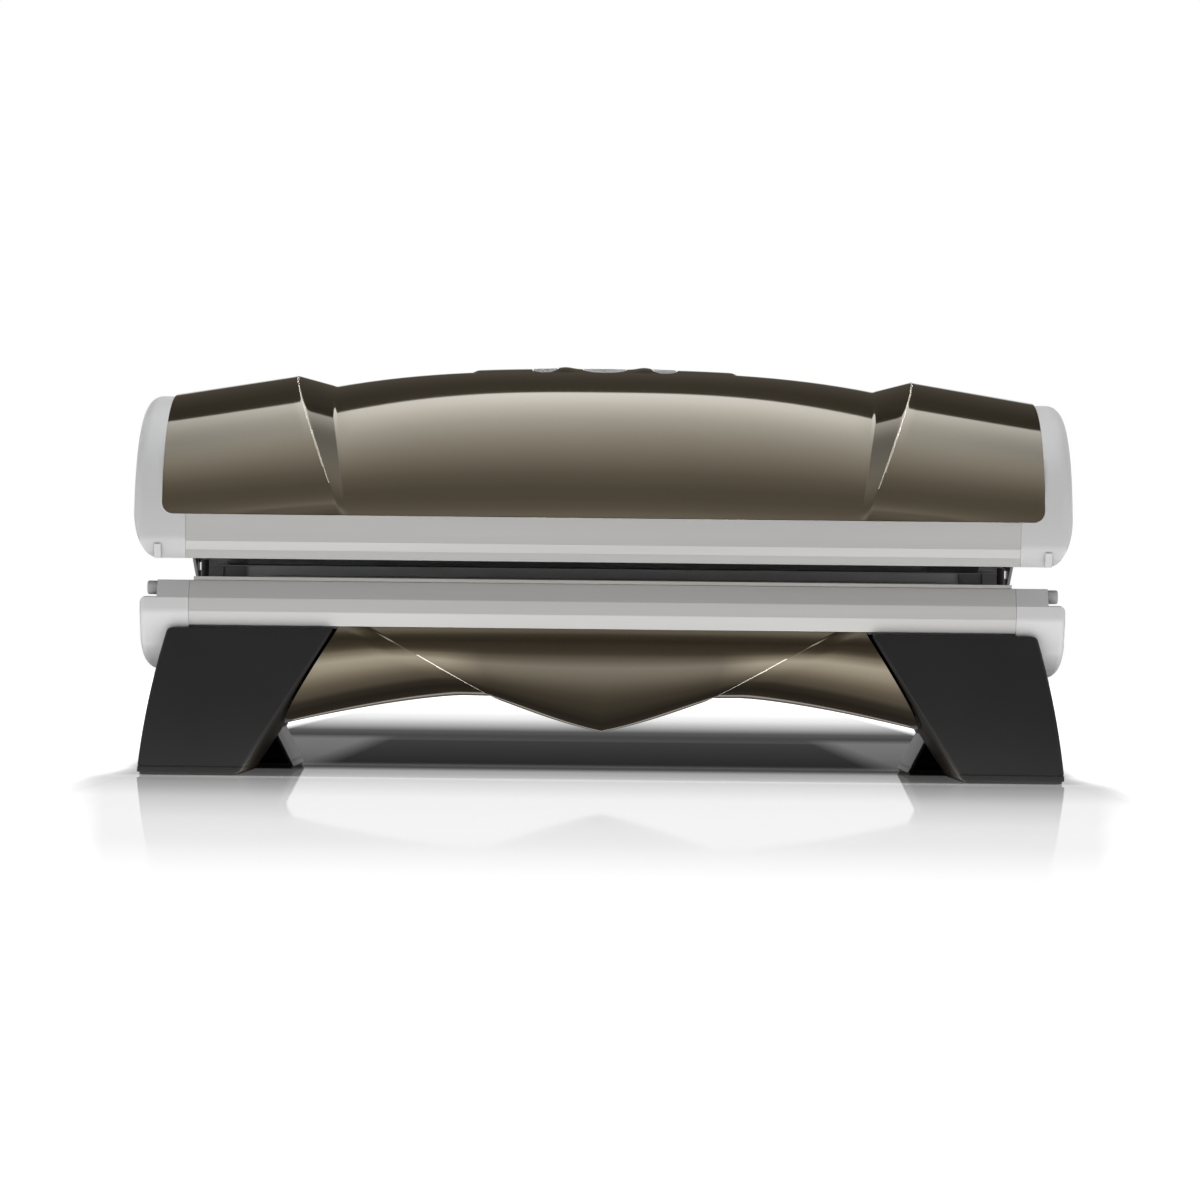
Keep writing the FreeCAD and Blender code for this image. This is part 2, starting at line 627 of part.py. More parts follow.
def hollow_leg(inner, y0, y1, open_side):
    """Moulded leg, open towards the middle of the bed."""
    outline = leg_corners(inner, 0)
    body = leg_prism(outline, outline[-1], outline[0], y0, y1)
    face_y = y0 if open_side > 0 else y1
    rim = [e for e in body.Edges
           if abs(e.BoundBox.YMin - face_y) < 0.01 and abs(e.BoundBox.YMax - face_y) < 0.01]
    body = body.makeFillet(LEG_FILLET, rim)
    room = leg_corners(inner, LEG_WALL)
    if open_side > 0:
        cut = leg_prism(room, room[-1], room[0], y0 + LEG_WALL, y1 + 10, 0)
    else:
        cut = leg_prism(room, room[-1], room[0], y0 - 10, y1 - LEG_WALL, 0)
    return body.cut(cut)


def cap_room():
    """The space that the base end cap's lobe takes, with its clearance, for the leg to wrap."""
    half = DEPTH / 2 + SEAT_GAP
    start = BASE_RAIL_HALF_LENGTH - SEAT_GAP
    return oval_prism(start, BASE_CAP_HALF_LENGTH + 60, half, BASE_RAIL_FACE_HIGH,
                      BASE_RAIL_FACE_HIGH - BASE_CAP_BOTTOM + SEAT_GAP, -1, half - RAIL_THICK, BASE_RAIL_TOP,
                      BASE_CAP_ROUNDNESS)


def legs():
    front = hollow_leg(front_inner, FRONT, FRONT + FRONT_LEG_DEPTH, 1).cut(cap_room())
    rear = hollow_leg(rear_inner, DEPTH / 2 - REAR_LEG_DEPTH, DEPTH / 2, -1).cut(cap_room())
    save_pair("front_leg", front)
    save_pair("rear_leg", rear)
    pads = []
    for x in (LEG_INNER_FOOT_X + 50, LEG_OUTER_FOOT_X - 50):
        for y in (FRONT + 60, FRONT + FRONT_LEG_DEPTH - 60, DEPTH / 2 - REAR_LEG_DEPTH + 60, DEPTH / 2 - 60):
            pads.append(rod((x, y, 0), (0, 0, 1), PAD_RADIUS, FLOOR_PAD_HEIGHT))
    save("foot_pads", pads + [mirrored(pad) for pad in pads])


# ---- bench, canopy panels and what lies behind them ----------------------------------------------

def arc_height(y, level, crown, half):
    """Height on the arc that meets level at +-half and level + crown in the middle."""
    depth = abs(crown)
    radius = (half ** 2 + depth ** 2) / (2 * depth)
    fall = radius - math.sqrt(radius ** 2 - y ** 2)
    return level + math.copysign(depth - fall, crown)


def arched_strip(x0, x1, lip, half, level, crown, thick):
    """Sheet along X with flat lips out to +-lip and an arc between +-half; level is its lower side."""
    def side(z, direction):
        ends = [Vector(x0, -lip * direction, z), Vector(x0, -half * direction, z),
                Vector(x0, half * direction, z), Vector(x0, lip * direction, z)]
        edges = [Part.Arc(ends[1], Vector(x0, 0, z + crown), ends[2]).toShape()]
        if lip > half:
            edges = [Part.makeLine(ends[0], ends[1])] + edges + [Part.makeLine(ends[2], ends[3])]
        return edges, ends[0], ends[3]
    low, low_a, low_b = side(level, 1)
    high, high_a, high_b = side(level + thick, -1)
    wire = Part.Wire(low + [Part.makeLine(low_b, high_a)] + high + [Part.makeLine(high_b, low_a)])
    return Part.Face(wire).extrude(Vector(x1 - x0, 0, 0))


def bench_under(y):
    return arc_height(y, BASE_RAIL_TOP, -BENCH_SAG, PANEL_ARC_HALF)


def canopy_over(y):
    return arc_height(y, CANOPY_LIP_LOW + PANEL_THICK, CANOPY_RISE, PANEL_ARC_HALF)


BENCH_REFLECTOR_DROP = bench_under(0) - LEG_TOP - SHEET
CANOPY_REFLECTOR_LIFT = 2 * LAMP_RADIUS + 2 * LAMP_GAP
LIP_HALF = -RAIL_BACK - SEAT_GAP


def panels():
    save("base_acrylic", arched_strip(-PANEL_HALF_LENGTH, PANEL_HALF_LENGTH, LIP_HALF, PANEL_ARC_HALF,
                                      BASE_RAIL_TOP, -BENCH_SAG, PANEL_THICK))
    save("canopy_acrylic", arched_strip(-PANEL_HALF_LENGTH, CONSOLE_START - SEAT_GAP, LIP_HALF,
                                        PANEL_ARC_HALF, CANOPY_LIP_LOW, CANOPY_RISE, PANEL_THICK))


def lamp_row(count):
    pitch = 2 * (REFLECTOR_HALF - OUTER_LAMP_INSET) / (count - 1)
    return [(i - (count - 1) / 2) * pitch for i in range(count)]


def lamp_holder(x, y, low, high):
    return block(x, x + HOLDER_LONG, y - HOLDER_WIDE / 2, y + HOLDER_WIDE / 2, low, high)


def arc_slope_allowance(height, y):
    """How far the arc moves over half a holder's width, away from the middle of the bed."""
    near = abs(y) - HOLDER_WIDE / 2
    far = abs(y) + HOLDER_WIDE / 2
    return abs(height(abs(y)) - height(max(near, 0.0))), abs(height(far) - height(abs(y)))


def bench_lighting():
    half = LAMP_LENGTH / 2
    end = half + HOLDER_LONG + 2 * SHEET
    edge_level = bench_under(REFLECTOR_HALF) - BENCH_REFLECTOR_DROP - SHEET
    crown = bench_under(0) - bench_under(REFLECTOR_HALF)
    save("base_reflector", arched_strip(-end, end, REFLECTOR_HALF, REFLECTOR_HALF, edge_level, crown, SHEET))
    lamps, holders = [], []
    for y in lamp_row(BENCH_LAMPS):
        centre = bench_under(y) - LAMP_GAP - LAMP_RADIUS
        lamps.append(rod((-half, y, centre), (1, 0, 0), LAMP_RADIUS, LAMP_LENGTH))
        sheet_top = bench_under(y) - BENCH_REFLECTOR_DROP
        low = sheet_top + arc_slope_allowance(bench_under, y)[1] + SEAT_GAP
        for x in (half + SEAT_GAP, -half - SEAT_GAP - HOLDER_LONG):
            holders.append(lamp_holder(x, y, low, centre + LAMP_RADIUS - 2))
    save("base_lamps", lamps)
    save("base_lamp_holders", holders)


def canopy_lighting():
    start = CANOPY_LAMP_SHIFT - LAMP_LENGTH / 2
    finish = start + LAMP_LENGTH
    reach = CANOPY_RIB_X - RIB_WIDE / 2 - SEAT_GAP
    edge_level = canopy_over(REFLECTOR_HALF) + CANOPY_REFLECTOR_LIFT
    crown = canopy_over(0) - canopy_over(REFLECTOR_HALF)
    save("canopy_reflector", arched_strip(-reach, reach, REFLECTOR_HALF, REFLECTOR_HALF,
                                          edge_level, crown, SHEET))
    lamps, holders = [], []
    for y in lamp_row(CANOPY_LAMPS):
        centre = canopy_over(y) + LAMP_GAP + LAMP_RADIUS
        lamps.append(rod((start, y, centre), (1, 0, 0), LAMP_RADIUS, LAMP_LENGTH))
        sheet_under = canopy_over(y) + CANOPY_REFLECTOR_LIFT
        high = sheet_under - arc_slope_allowance(canopy_over, y)[1] - SEAT_GAP
        for x in (finish + SEAT_GAP, start - SEAT_GAP - HOLDER_LONG):
            holders.append(lamp_holder(x, y, centre - LAMP_RADIUS + 2, high))
    save("canopy_lamps", lamps)
    save("canopy_lamp_holders", holders)


def ballast_rows(y, z):
    long, wide, high = BALLAST_SIZE
    pitch = TRAY_HALF_LENGTH / 2 - 20
    rows = []
    for k in range(4):
        x = (k - 1.5) * pitch
        for side in (-1, 1):
            rows.append(block(x - long / 2, x + long / 2, side * y - wide / 2, side * y + wide / 2,
                              z, z + high))
    return rows


def trays_and_gear():
    edge = BASE_TUBE_Y + BASE_TUBE_WIDE / 2
    low = LEG_TOP - SHEET
    save("base_gear_tray", block(-TRAY_HALF_LENGTH, TRAY_HALF_LENGTH, -edge, edge, low, LEG_TOP))
    save("base_ballasts", ballast_rows(BASE_BALLAST_Y, low - BALLAST_SIZE[2]))
    long, wide, high = GEAR_BOX_SIZE
    save("control_gear_box", block(-long / 2, long / 2, -wide / 2, wide / 2, low - high, low))
    low = canopy_over(0) + CANOPY_REFLECTOR_LIFT + SHEET + SEAT_GAP
    save("canopy_gear_tray", block(-TRAY_HALF_LENGTH, TRAY_HALF_LENGTH, -CANOPY_TRAY_HALF_WIDTH,
                                   CANOPY_TRAY_HALF_WIDTH, low, low + SHEET))
    save("canopy_ballasts", ballast_rows(CANOPY_BALLAST_Y, low + SHEET))


# ---- frames --------------------------------------------------------------------------------------

def box_tube_x(x0, x1, y_mid, wide, z0, z1):
    outer = block(x0, x1, y_mid - wide / 2, y_mid + wide / 2, z0, z1)
    inner = block(x0, x1, y_mid - wide / 2 + TUBE_WALL, y_mid + wide / 2 - TUBE_WALL,
                  z0 + TUBE_WALL, z1 - TUBE_WALL)
    return outer.cut(inner)


def frames():
    low, high = LEG_TOP, LEG_TOP + TUBE
    tubes = [box_tube_x(-BASE_TUBE_END, BASE_TUBE_END, side * BASE_TUBE_Y, BASE_TUBE_WIDE, low, high)
             for side in (-1, 1)]
    reach = BASE_TUBE_Y - BASE_TUBE_WIDE / 2
    for x in (-CROSS_X, CROSS_X):
        outer = block(x - TUBE / 2, x + TUBE / 2, -reach, reach, low, high)
        inner = block(x - TUBE / 2 + TUBE_WALL, x + TUBE / 2 - TUBE_WALL, -reach, reach,
                      low + TUBE_WALL, high - TUBE_WALL)
        tubes.append(outer.cut(inner))
    save("base_frame", fused(tubes))
    low = CANOPY_LIP_LOW + PANEL_THICK + SEAT_GAP
    high = low + CANOPY_TUBE_HIGH
    y = LIP_HALF - CANOPY_TUBE_WIDE / 2
    tubes = [box_tube_x(-CANOPY_TUBE_END, CANOPY_TUBE_END, side * y, CANOPY_TUBE_WIDE, low, high)
             for side in (-1, 1)]
    for x in (-CANOPY_RIB_X, CANOPY_RIB_X):
        tubes.append(arched_strip(x - RIB_WIDE / 2, x + RIB_WIDE / 2, y, y, high, CANOPY_RISE + 10, RIB_DEEP))
    save("canopy_frame", fused(tubes))


# ---- hinge and gas springs -----------------------------------------------------------------------

def plate(outline, x, holes):
    flat = prism_x(outline, x, x + PLATE_THICK)
    for y, z, radius in holes:
        flat = flat.cut(rod((x - 1, y, z), (1, 0, 0), radius, PLATE_THICK + 2))
    return flat


def hinges():
    bore = HINGE_PIN_RADIUS + RUNNING_GAP
    shank = 5.0
    base_bolt = (BASE_TUBE_Y, LEG_TOP + TUBE / 2)
    tube_low = CANOPY_LIP_LOW + PANEL_THICK + SEAT_GAP
    arm_bolt = (LIP_HALF - CANOPY_TUBE_WIDE / 2, tube_low + CANOPY_TUBE_HIGH / 2)
    bracket_outline = [(SPRING_Y - 24, LEG_TOP), (HINGE_Y - 16, LEG_TOP), (HINGE_Y + 20, HINGE_Z - 15),
                       (HINGE_Y + 15, HINGE_Z + 14), (HINGE_Y - 18, HINGE_Z + 14),
                       (HINGE_Y - 60, LEG_TOP + 70), (SPRING_Y - 24, LEG_TOP + 55)]
    bracket = plate(bracket_outline, BRACKET_X, [(HINGE_Y, HINGE_Z, bore), base_bolt + (shank + RUNNING_GAP,),
                                                 (SPRING_Y, SPRING_LOW_Z, STUD_RADIUS)])
    save_both("hinge_brackets", bracket)
    arm_outline = [(HINGE_Y + 20, HINGE_Z - 12), (HINGE_Y - 14, HINGE_Z - 14), (SPRING_Y - 40, HINGE_Z + 60),
                   (SPRING_Y - 24, SPRING_HIGH_Z + 24), (SPRING_Y + 24, SPRING_HIGH_Z + 24),
                   (HINGE_Y + 8, HINGE_Z + 80), (HINGE_Y + 12, HINGE_Z + 36)]
    arm = plate(arm_outline, ARM_X, [(HINGE_Y, HINGE_Z, bore), arm_bolt + (shank + RUNNING_GAP,),
                                     (SPRING_Y, SPRING_HIGH_Z, STUD_RADIUS)])
    save_both("hinge_arms", arm)
    pin = rod((BRACKET_X - 2, HINGE_Y, HINGE_Z), (1, 0, 0), HINGE_PIN_RADIUS,
              ARM_X + PLATE_THICK + 4 - BRACKET_X)
    head = rod((BRACKET_X - 7, HINGE_Y, HINGE_Z), (1, 0, 0), HINGE_PIN_RADIUS + 4, 6)
    save_both("hinge_pins", pin.fuse(head))

    def bolt(x, spot):
        head = rod((x + PLATE_THICK, *spot), (1, 0, 0), 8.0, 1.6)
        return head.fuse(rod((x - 14, *spot), (1, 0, 0), shank, PLATE_THICK + 15))
    save_both("bracket_bolts", bolt(BRACKET_X, base_bolt))
    save_both("arm_bolts", bolt(ARM_X, arm_bolt))


def spring_eye(z, bore):
    start = (SPRING_X - SPRING_EYE_THICK / 2, SPRING_Y, z)
    eye = rod(start, (1, 0, 0), SPRING_EYE_RADIUS, SPRING_EYE_THICK)
    return eye, rod((start[0] - 1, SPRING_Y, z), (1, 0, 0), bore, SPRING_EYE_THICK + 2)


def gas_springs():
    stud_start = SPRING_X - SPRING_EYE_THICK / 2 - 3
    for node, x_end, z in (("gas_spring_low_studs", BRACKET_X, SPRING_LOW_Z),
                           ("gas_spring_high_studs", ARM_X, SPRING_HIGH_Z)):
        stud = rod((stud_start, SPRING_Y, z), (1, 0, 0), STUD_RADIUS, x_end + PLATE_THICK - stud_start)
        save_both(node, stud)
    eye, hole = spring_eye(SPRING_LOW_Z, STUD_RADIUS + RUNNING_GAP)
    body_start = SPRING_LOW_Z + SPRING_EYE_RADIUS - 4
    body = rod((SPRING_X, SPRING_Y, body_start), (0, 0, 1), SPRING_BODY_RADIUS, SPRING_BODY_TOP - body_start)
    bore = rod((SPRING_X, SPRING_Y, body_start + 6), (0, 0, 1), SPRING_ROD_RADIUS + RUNNING_GAP,
               SPRING_BODY_TOP)
    save_pair("gas_spring_cylinder", eye.fuse(body).cut(hole).cut(bore))
    eye, hole = spring_eye(SPRING_HIGH_Z, OPEN_EYE_BORE)
    rod_start = body_start + 8
    slim = rod((SPRING_X, SPRING_Y, rod_start), (0, 0, 1), SPRING_ROD_RADIUS, SPRING_HIGH_Z - rod_start)
    save_pair("gas_spring_rod", eye.fuse(slim).cut(hole))


# ---- fans ----------------------------------------------------------------------------------------

def fan_housing(x, low, post_top):
    ring = rod((x, 0, low), (0, 0, 1), FAN_RADIUS + FAN_WALL, FAN_DEEP)
    pieces = [ring.cut(rod((x, 0, low - 1), (0, 0, 1), FAN_RADIUS, FAN_DEEP + 2))]
    top = low + FAN_DEEP
    for k in range(4):
        angle = math.radians(45 + 90 * k)
        reach = FAN_RADIUS + FAN_WALL / 2
        spot = (x + reach * math.cos(angle), reach * math.sin(angle))
        pieces.append(rod((*spot, top - 6), (0, 0, 1), POST_RADIUS, post_top - top + 6))
    for across in (True, False):
        half = FAN_RADIUS + 1
        wide, long = (3, half) if across else (half, 3)
        pieces.append(block(x - wide, x + wide, -long, long, top - 4, top))
    pieces.append(rod((x, 0, low + 4), (0, 0, 1), POST_RADIUS, FAN_DEEP - 5))
    return fused(pieces)


def fan_impeller(x, low):
    height = FAN_DEEP - 12
    hub = rod((x, 0, low + 2), (0, 0, 1), HUB_RADIUS, height)
    blades = []
    for k in range(BLADES):
        blade = block(HUB_RADIUS - 4, FAN_RADIUS - 5, -1.5, 1.5, -height * 0.55, height * 0.55)
        blade.rotate(Vector(0, 0, 0), Vector(1, 0, 0), 52)
        blade.rotate(Vector(0, 0, 0), Vector(0, 0, 1), 360 / BLADES * k)
        blade.translate(Vector(x, 0, low + 2 + height / 2))
        blades.append(blade)
    shaft_hole = rod((x, 0, low), (0, 0, 1), POST_RADIUS + RUNNING_GAP, FAN_DEEP)
    return fused([hub] + blades).cut(shaft_hole)


def fans():
    tray_low = LEG_TOP - SHEET
    base_low = tray_low - FAN_DEEP - FAN_POST
    save("base_fan_housings", [fan_housing(x, base_low, tray_low) for x in (-BASE_FAN_X, BASE_FAN_X)])
    save("base_fan_impeller_left", fan_impeller(-BASE_FAN_X, base_low))
    save("base_fan_impeller_right", fan_impeller(BASE_FAN_X, base_low))
    shell_under = CROWN_TOP - WALL - SHELL_FALL_AT_FAN
    canopy_low = CROWN_TOP - WALL - GRILLE_DEEP - FAN_BELOW_VENTS - FAN_DEEP
    save("canopy_fan_housing", fan_housing(0, canopy_low, shell_under))
    save("canopy_fan_impeller", fan_impeller(0, canopy_low))


# ---- console, buttons, nozzle --------------------------------------------------------------------

def console():
    strip = arched_strip(CONSOLE_START, PANEL_HALF_LENGTH, LIP_HALF, PANEL_ARC_HALF, CANOPY_LIP_LOW,
                         CANOPY_RISE, PANEL_THICK)
    long, wide, deep = CONSOLE_PAD_SIZE
    pad = block(CONSOLE_PAD_X - long / 2, CONSOLE_PAD_X + long / 2, -wide / 2, wide / 2,
                CONSOLE_PAD_LOW, CONSOLE_PAD_LOW + deep)
    body = fused([strip, pad])
    for y in button_places():
        well = CONSOLE_PAD_LOW + deep / 2
        body = body.cut(rod((CONSOLE_PAD_X, y, CONSOLE_PAD_LOW - 1), (0, 0, 1),
                            BUTTON_RADIUS + RUNNING_GAP, 2 * deep))
        body = body.cut(rod((CONSOLE_PAD_X, y, well), (0, 0, 1), BUTTON_FLANGE_RADIUS + 2, 2 * deep))
    socket = Part.makeSphere(NOZZLE_RADIUS + SEAT_GAP, Vector(CONSOLE_PAD_X, NOZZLE_Y, NOZZLE_Z))
    duct = rod((CONSOLE_PAD_X, NOZZLE_Y, NOZZLE_Z), (0, 0, 1), NOZZLE_RADIUS - 4, 4 * deep)
    save("control_console", body.cut(socket).cut(duct))
    board_low = CONSOLE_PAD_LOW + deep
    first, last = button_places()[0] - 24, button_places()[-1] + 24
    board = block(CONSOLE_PAD_X - 30, CONSOLE_PAD_X + 30, first, last, board_low, board_low + 1.6)
    save("button_board", board)


def button_places():
    return [BUTTON_FIRST_Y + BUTTON_PITCH * k for k in range(len(BUTTON_NAMES))]


def buttons():
    seat = CONSOLE_PAD_LOW + CONSOLE_PAD_SIZE[2] / 2
    for name, y in zip(BUTTON_NAMES, button_places()):
        low = CONSOLE_PAD_LOW - BUTTON_PROUD
        stem = rod((CONSOLE_PAD_X, y, low), (0, 0, 1), BUTTON_RADIUS, seat - low + 1)
        flange = rod((CONSOLE_PAD_X, y, seat), (0, 0, 1), BUTTON_FLANGE_RADIUS, BUTTON_FLANGE)
        save(name, stem.fuse(flange).removeSplitter())


def nozzle():
    ball = Part.makeSphere(NOZZLE_RADIUS, Vector(CONSOLE_PAD_X, NOZZLE_Y, NOZZLE_Z))
    flat_low = NOZZLE_Z - NOZZLE_RADIUS * 0.92
    ball = ball.common(block(0, 2000, -DEPTH, DEPTH, flat_low, NOZZLE_Z + NOZZLE_RADIUS * 0.9))
    bore = rod((CONSOLE_PAD_X, NOZZLE_Y, NOZZLE_Z - 40), (0, 0, 1), NOZZLE_BORE, 80)
    save("air_nozzle", ball.cut(bore))


# ---- back of the gap and mains inlet -------------------------------------------------------------

def gap_back():
    """The strip that closes the back of the gap, with a cover at each end by the hinge."""
    low = BENCH_LIP_TOP + SEAT_GAP
    high = CANOPY_BOTTOM - GAP_BACK_CLEARANCE
    y0 = PANEL_ARC_HALF + 2
    y1 = y0 + GAP_BACK_THICK
    outer_end = BRACKET_X - HINGE_COVER_CLEARANCE
    end = outer_end - HINGE_COVER_LONG
    save("gap_back_panel", block(-end, end, y0, y1, low, high))
    cover = block(end + SEAT_GAP, outer_end, y0 - 6, y1, low, high)
    over_cap = block(BASE_RAIL_HALF_LENGTH, outer_end, y0 - 6, y1, BASE_RAIL_TOP + SEAT_GAP, low + 1)
    middle = end + HINGE_COVER_LONG / 2
    notch = block(middle, middle + HINGE_COVER_NOTCH, y0 - 7, y0, low + 8, CANOPY_BOTTOM)
    save_both("hinge_covers", fused([cover, over_cap]).cut(notch))


def mains_gland():
    """Gland in the belly's rear wall; the lead itself isn't part of this."""
    x, z = GLAND_SPOT
    y = BELLY_HALF
    body = rod((x, y - 30, z), (0, 1, 0), GLAND_RADIUS, 56.0)
    flange = rod((x, y - 1, z), (0, 1, 0), GLAND_RADIUS + 6, 6.0)
    bore = rod((x, y - 31, z), (0, 1, 0), 4.5, 58.0)
    save("mains_gland", body.fuse(flange).cut(bore))


canopy_shell_and_cowl()
belly_shell()
vent_grilles()
rails()
end_caps()
legs()
panels()
bench_lighting()
canopy_lighting()
trays_and_gear()
frames()
hinges()
gas_springs()
fans()
console()
buttons()
nozzle()
gap_back()
mains_gland()
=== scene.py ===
"""Looks of the clamshell tanning bed: lacquered shells, satin rails, moulded caps and legs, studio light."""
import json
import math

import bmesh
import bpy
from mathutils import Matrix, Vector


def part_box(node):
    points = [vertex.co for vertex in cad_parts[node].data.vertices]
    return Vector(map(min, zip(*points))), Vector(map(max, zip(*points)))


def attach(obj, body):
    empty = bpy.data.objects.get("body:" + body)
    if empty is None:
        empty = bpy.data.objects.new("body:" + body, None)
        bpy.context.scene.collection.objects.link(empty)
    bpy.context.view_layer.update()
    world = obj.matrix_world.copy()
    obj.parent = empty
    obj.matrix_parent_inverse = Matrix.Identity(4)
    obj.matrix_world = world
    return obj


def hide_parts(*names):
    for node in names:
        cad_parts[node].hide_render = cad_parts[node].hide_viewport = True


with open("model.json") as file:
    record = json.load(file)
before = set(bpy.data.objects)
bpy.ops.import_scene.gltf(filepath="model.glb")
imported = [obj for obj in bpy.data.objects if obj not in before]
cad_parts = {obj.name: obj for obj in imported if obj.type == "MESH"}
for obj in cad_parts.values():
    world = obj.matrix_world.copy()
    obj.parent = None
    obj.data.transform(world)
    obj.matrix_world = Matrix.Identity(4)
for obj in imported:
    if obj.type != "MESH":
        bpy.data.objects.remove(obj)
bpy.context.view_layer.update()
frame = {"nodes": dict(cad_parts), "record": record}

# sizes in metres, read from the frame where a node gives them; places along x are the right side's
SHELL_LOW, SHELL_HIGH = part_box("canopy_shell")
CAP_LOW, CAP_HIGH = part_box("canopy_end_cap_right")
BASE_CAP_LOW, BASE_CAP_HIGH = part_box("base_end_cap_right")
RAIL_LOW, RAIL_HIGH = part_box("base_front_rail")
CANOPY_RAIL_LOW, CANOPY_RAIL_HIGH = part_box("canopy_front_rail")
LEG_LOW, LEG_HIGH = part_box("front_leg_right")
REAR_LOW, REAR_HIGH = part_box("rear_leg_right")
BOSS_LOW, BOSS_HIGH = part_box("base_cap_bosses")

HALF_DEPTH = -RAIL_LOW.y
ROUNDNESS = 2.5
BASE_CAP_ROUNDNESS = 3.5
CAP_CORNER_RUN, CAP_CORNER_RISE = 0.058, 0.123
MOULDING, CAP_WALL, SAME_POINT = 0.005, 0.006, 0.00004
HINGE_WALL_X = 1.036
HINGE_SLOT = (1.008, 0.380), (1.050, 0.700)
TAB_NEAR_X, TAB_FAR_X = 1.052, 1.069
SEAM = 0.0012
BOSS_LENGTH, LEDGE_INSET = 0.031, 0.055
SIDES = (-1, "left"), (1, "right")

# how far a cutter reaches: past every piece along the bed, above the base, and across the bed
PAST_X, PAST_Z, ACROSS = 1.3, 0.6, (-1.0, 1.0)

# rails: heights above their foot where the facets meet, and how far the canopy's lowest facet leans in
FACET_LOW, FACET_HIGH = 0.032, 0.064
CANOPY_FACET, CANOPY_FACET_RUN = 0.040, 0.014

# canopy shell: crown, ridge and valley creases, as heights and half lengths
CROWN_TOP, CROWN_DROP, CROWN_POWER = 1.000, 0.044, 2.8
RIDGE_TOP, END_TOP, RIDGE_BULGE = 0.981, 0.934, 0.010
RIDGE_LOW_X, RIDGE_TOP_X = 0.627, 0.757
VALLEY_LOW_X, VALLEY_TOP_X = 0.612, 0.662
SHELL_HALF = HALF_DEPTH - 0.012
SHELL_BOTTOM = SHELL_LOW.z
SHELL_END_X = SHELL_HIGH.x
SHELL_CORNER = 0.026

# vents in the cowl: middle place, half length along the bed, and half width across it
VENT_Y, VENT_HALF_WIDTH = -0.115, 0.082
VENTS = ((0.0, 0.056), (-0.147, 0.033), (0.147, 0.033))
PLUG_DEPTH, PLUG_HEIGHT = 0.06, 0.1
COWL_HALF_LENGTH, COWL_HALF_WIDTH, COWL_CORNER = 0.330, 0.232, 0.110
COWL_HEIGHT, COWL_RIB, COWL_RIB_X, COWL_RIB_WIDE = 0.004, 0.005, 0.098, 0.024
# the cowl's soft edge; outside it the skin falls below the shell and ends at a depth
COWL_EDGE, COWL_MARGIN, COWL_FALL, COWL_SINK = 0.016, 0.012, 0.15, 0.0018
COWL_SKIN = VENT_GAP = 0.0015

# belly shell: keel, arches and low ends
BELLY_HALF = HALF_DEPTH - 0.034
BELLY_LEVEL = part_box("base_belly_shell")[1].z
KEEL_BOTTOM, KEEL_CREASE_BOTTOM = 0.104, 0.179
KEEL_CREASE_X, KEEL_CREASE_TOP_X, KEEL_BOW = 0.244, 0.560, 0.007
ARCH_ROUNDNESS, CREASE_STEP = 3.1, 0.012
ARCH_TOP, ARCH_X, ARCH_POWER = 0.192, 0.344, 1.4
BELLY_END_BOTTOM, BELLY_END_X = 0.100, 0.860
BELLY_LEG_GAP = 0.009

# painted highlights on the creases: share of the height where each begins, and its reach beside the crease
RIDGE_FROM, RIDGE_LINE = 0.20, 0.0019
KEEL_FROM, KEEL_LINE = 0.36, 0.0036

# legs
PAD_HEIGHT, LEG_TOP = LEG_LOW.z, LEG_HIGH.z
LEG_INNER_TOP_X, LEG_INNER_FOOT_X = 0.640, 0.861
LEG_OUTER_TOP_X, LEG_OUTER_FOOT_X, LEG_BOW = 1.034, LEG_HIGH.x, 0.009
REAR_TOP_X, REAR_KNEE, REAR_TOE_X = 0.680, (0.821, 0.102), 0.772
LEG_WALL, LEG_CORNER = 0.008, 0.009

# camera and light
CAMERA_DISTANCE = 12.0
CAMERA_HEIGHT = 0.31
AIM_HEIGHT, AIM_X = 0.427, -0.006
VIEW_WIDTH, SENSOR = 2.8536, 36.0
ROLL = math.radians(0.63)
FLOOR_LIFT, FLOOR_GLOW, FLOOR_SIZE = 0.27, 4.8, 40.0


# ---- mesh helpers ------------------------------------------------------------------------------

def skin_rows(bm, rows, closed):
    """Skin through rows of points: the first row is drawn, and every next one is extruded from it."""
    row = [bm.verts.new(point) for point in rows[0]]
    edges = [bm.edges.new(pair) for pair in zip(row, row[1:])]
    if closed:
        edges.append(bm.edges.new((row[-1], row[0])))
    first = list(row)
    for points in rows[1:]:
        made = bmesh.ops.extrude_edge_only(bm, edges=edges)["geom"]
        fresh = {item for item in made if isinstance(item, bmesh.types.BMVert)}
        row = [next(e.other_vert(v) for e in v.link_edges if e.other_vert(v) in fresh) for v in row]
        edges = [e for e in made if isinstance(e, bmesh.types.BMEdge)
                 and e.verts[0] in fresh and e.verts[1] in fresh]
        for vert, point in zip(row, points):
            vert.co = point
    return first, row


def make_piece(name, bm, material, sharp=35):
    bmesh.ops.remove_doubles(bm, verts=bm.verts, dist=SAME_POINT)
    bmesh.ops.recalc_face_normals(bm, faces=bm.faces)
    mesh = bpy.data.meshes.new(name)
    bm.to_mesh(mesh)
    bm.free()
    mesh.materials.append(material)
    piece = bpy.data.objects.new(name, mesh)
    bpy.context.collection.objects.link(piece)
    shade(piece, sharp)
    return piece


def shade(piece, sharp=35):
    for polygon in piece.data.polygons:
        polygon.use_smooth = True
    piece.data.set_sharp_from_angle(angle=math.radians(sharp))


def settle(piece):
    """Keep what the piece's modifiers make as its own mesh."""
    graph = bpy.context.evaluated_depsgraph_get()
    mesh = bpy.data.meshes.new_from_object(piece.evaluated_get(graph))
    piece.modifiers.clear()
    old = piece.data
    mesh.name = piece.name
    piece.data = mesh
    bpy.data.meshes.remove(old)
    shade(piece)


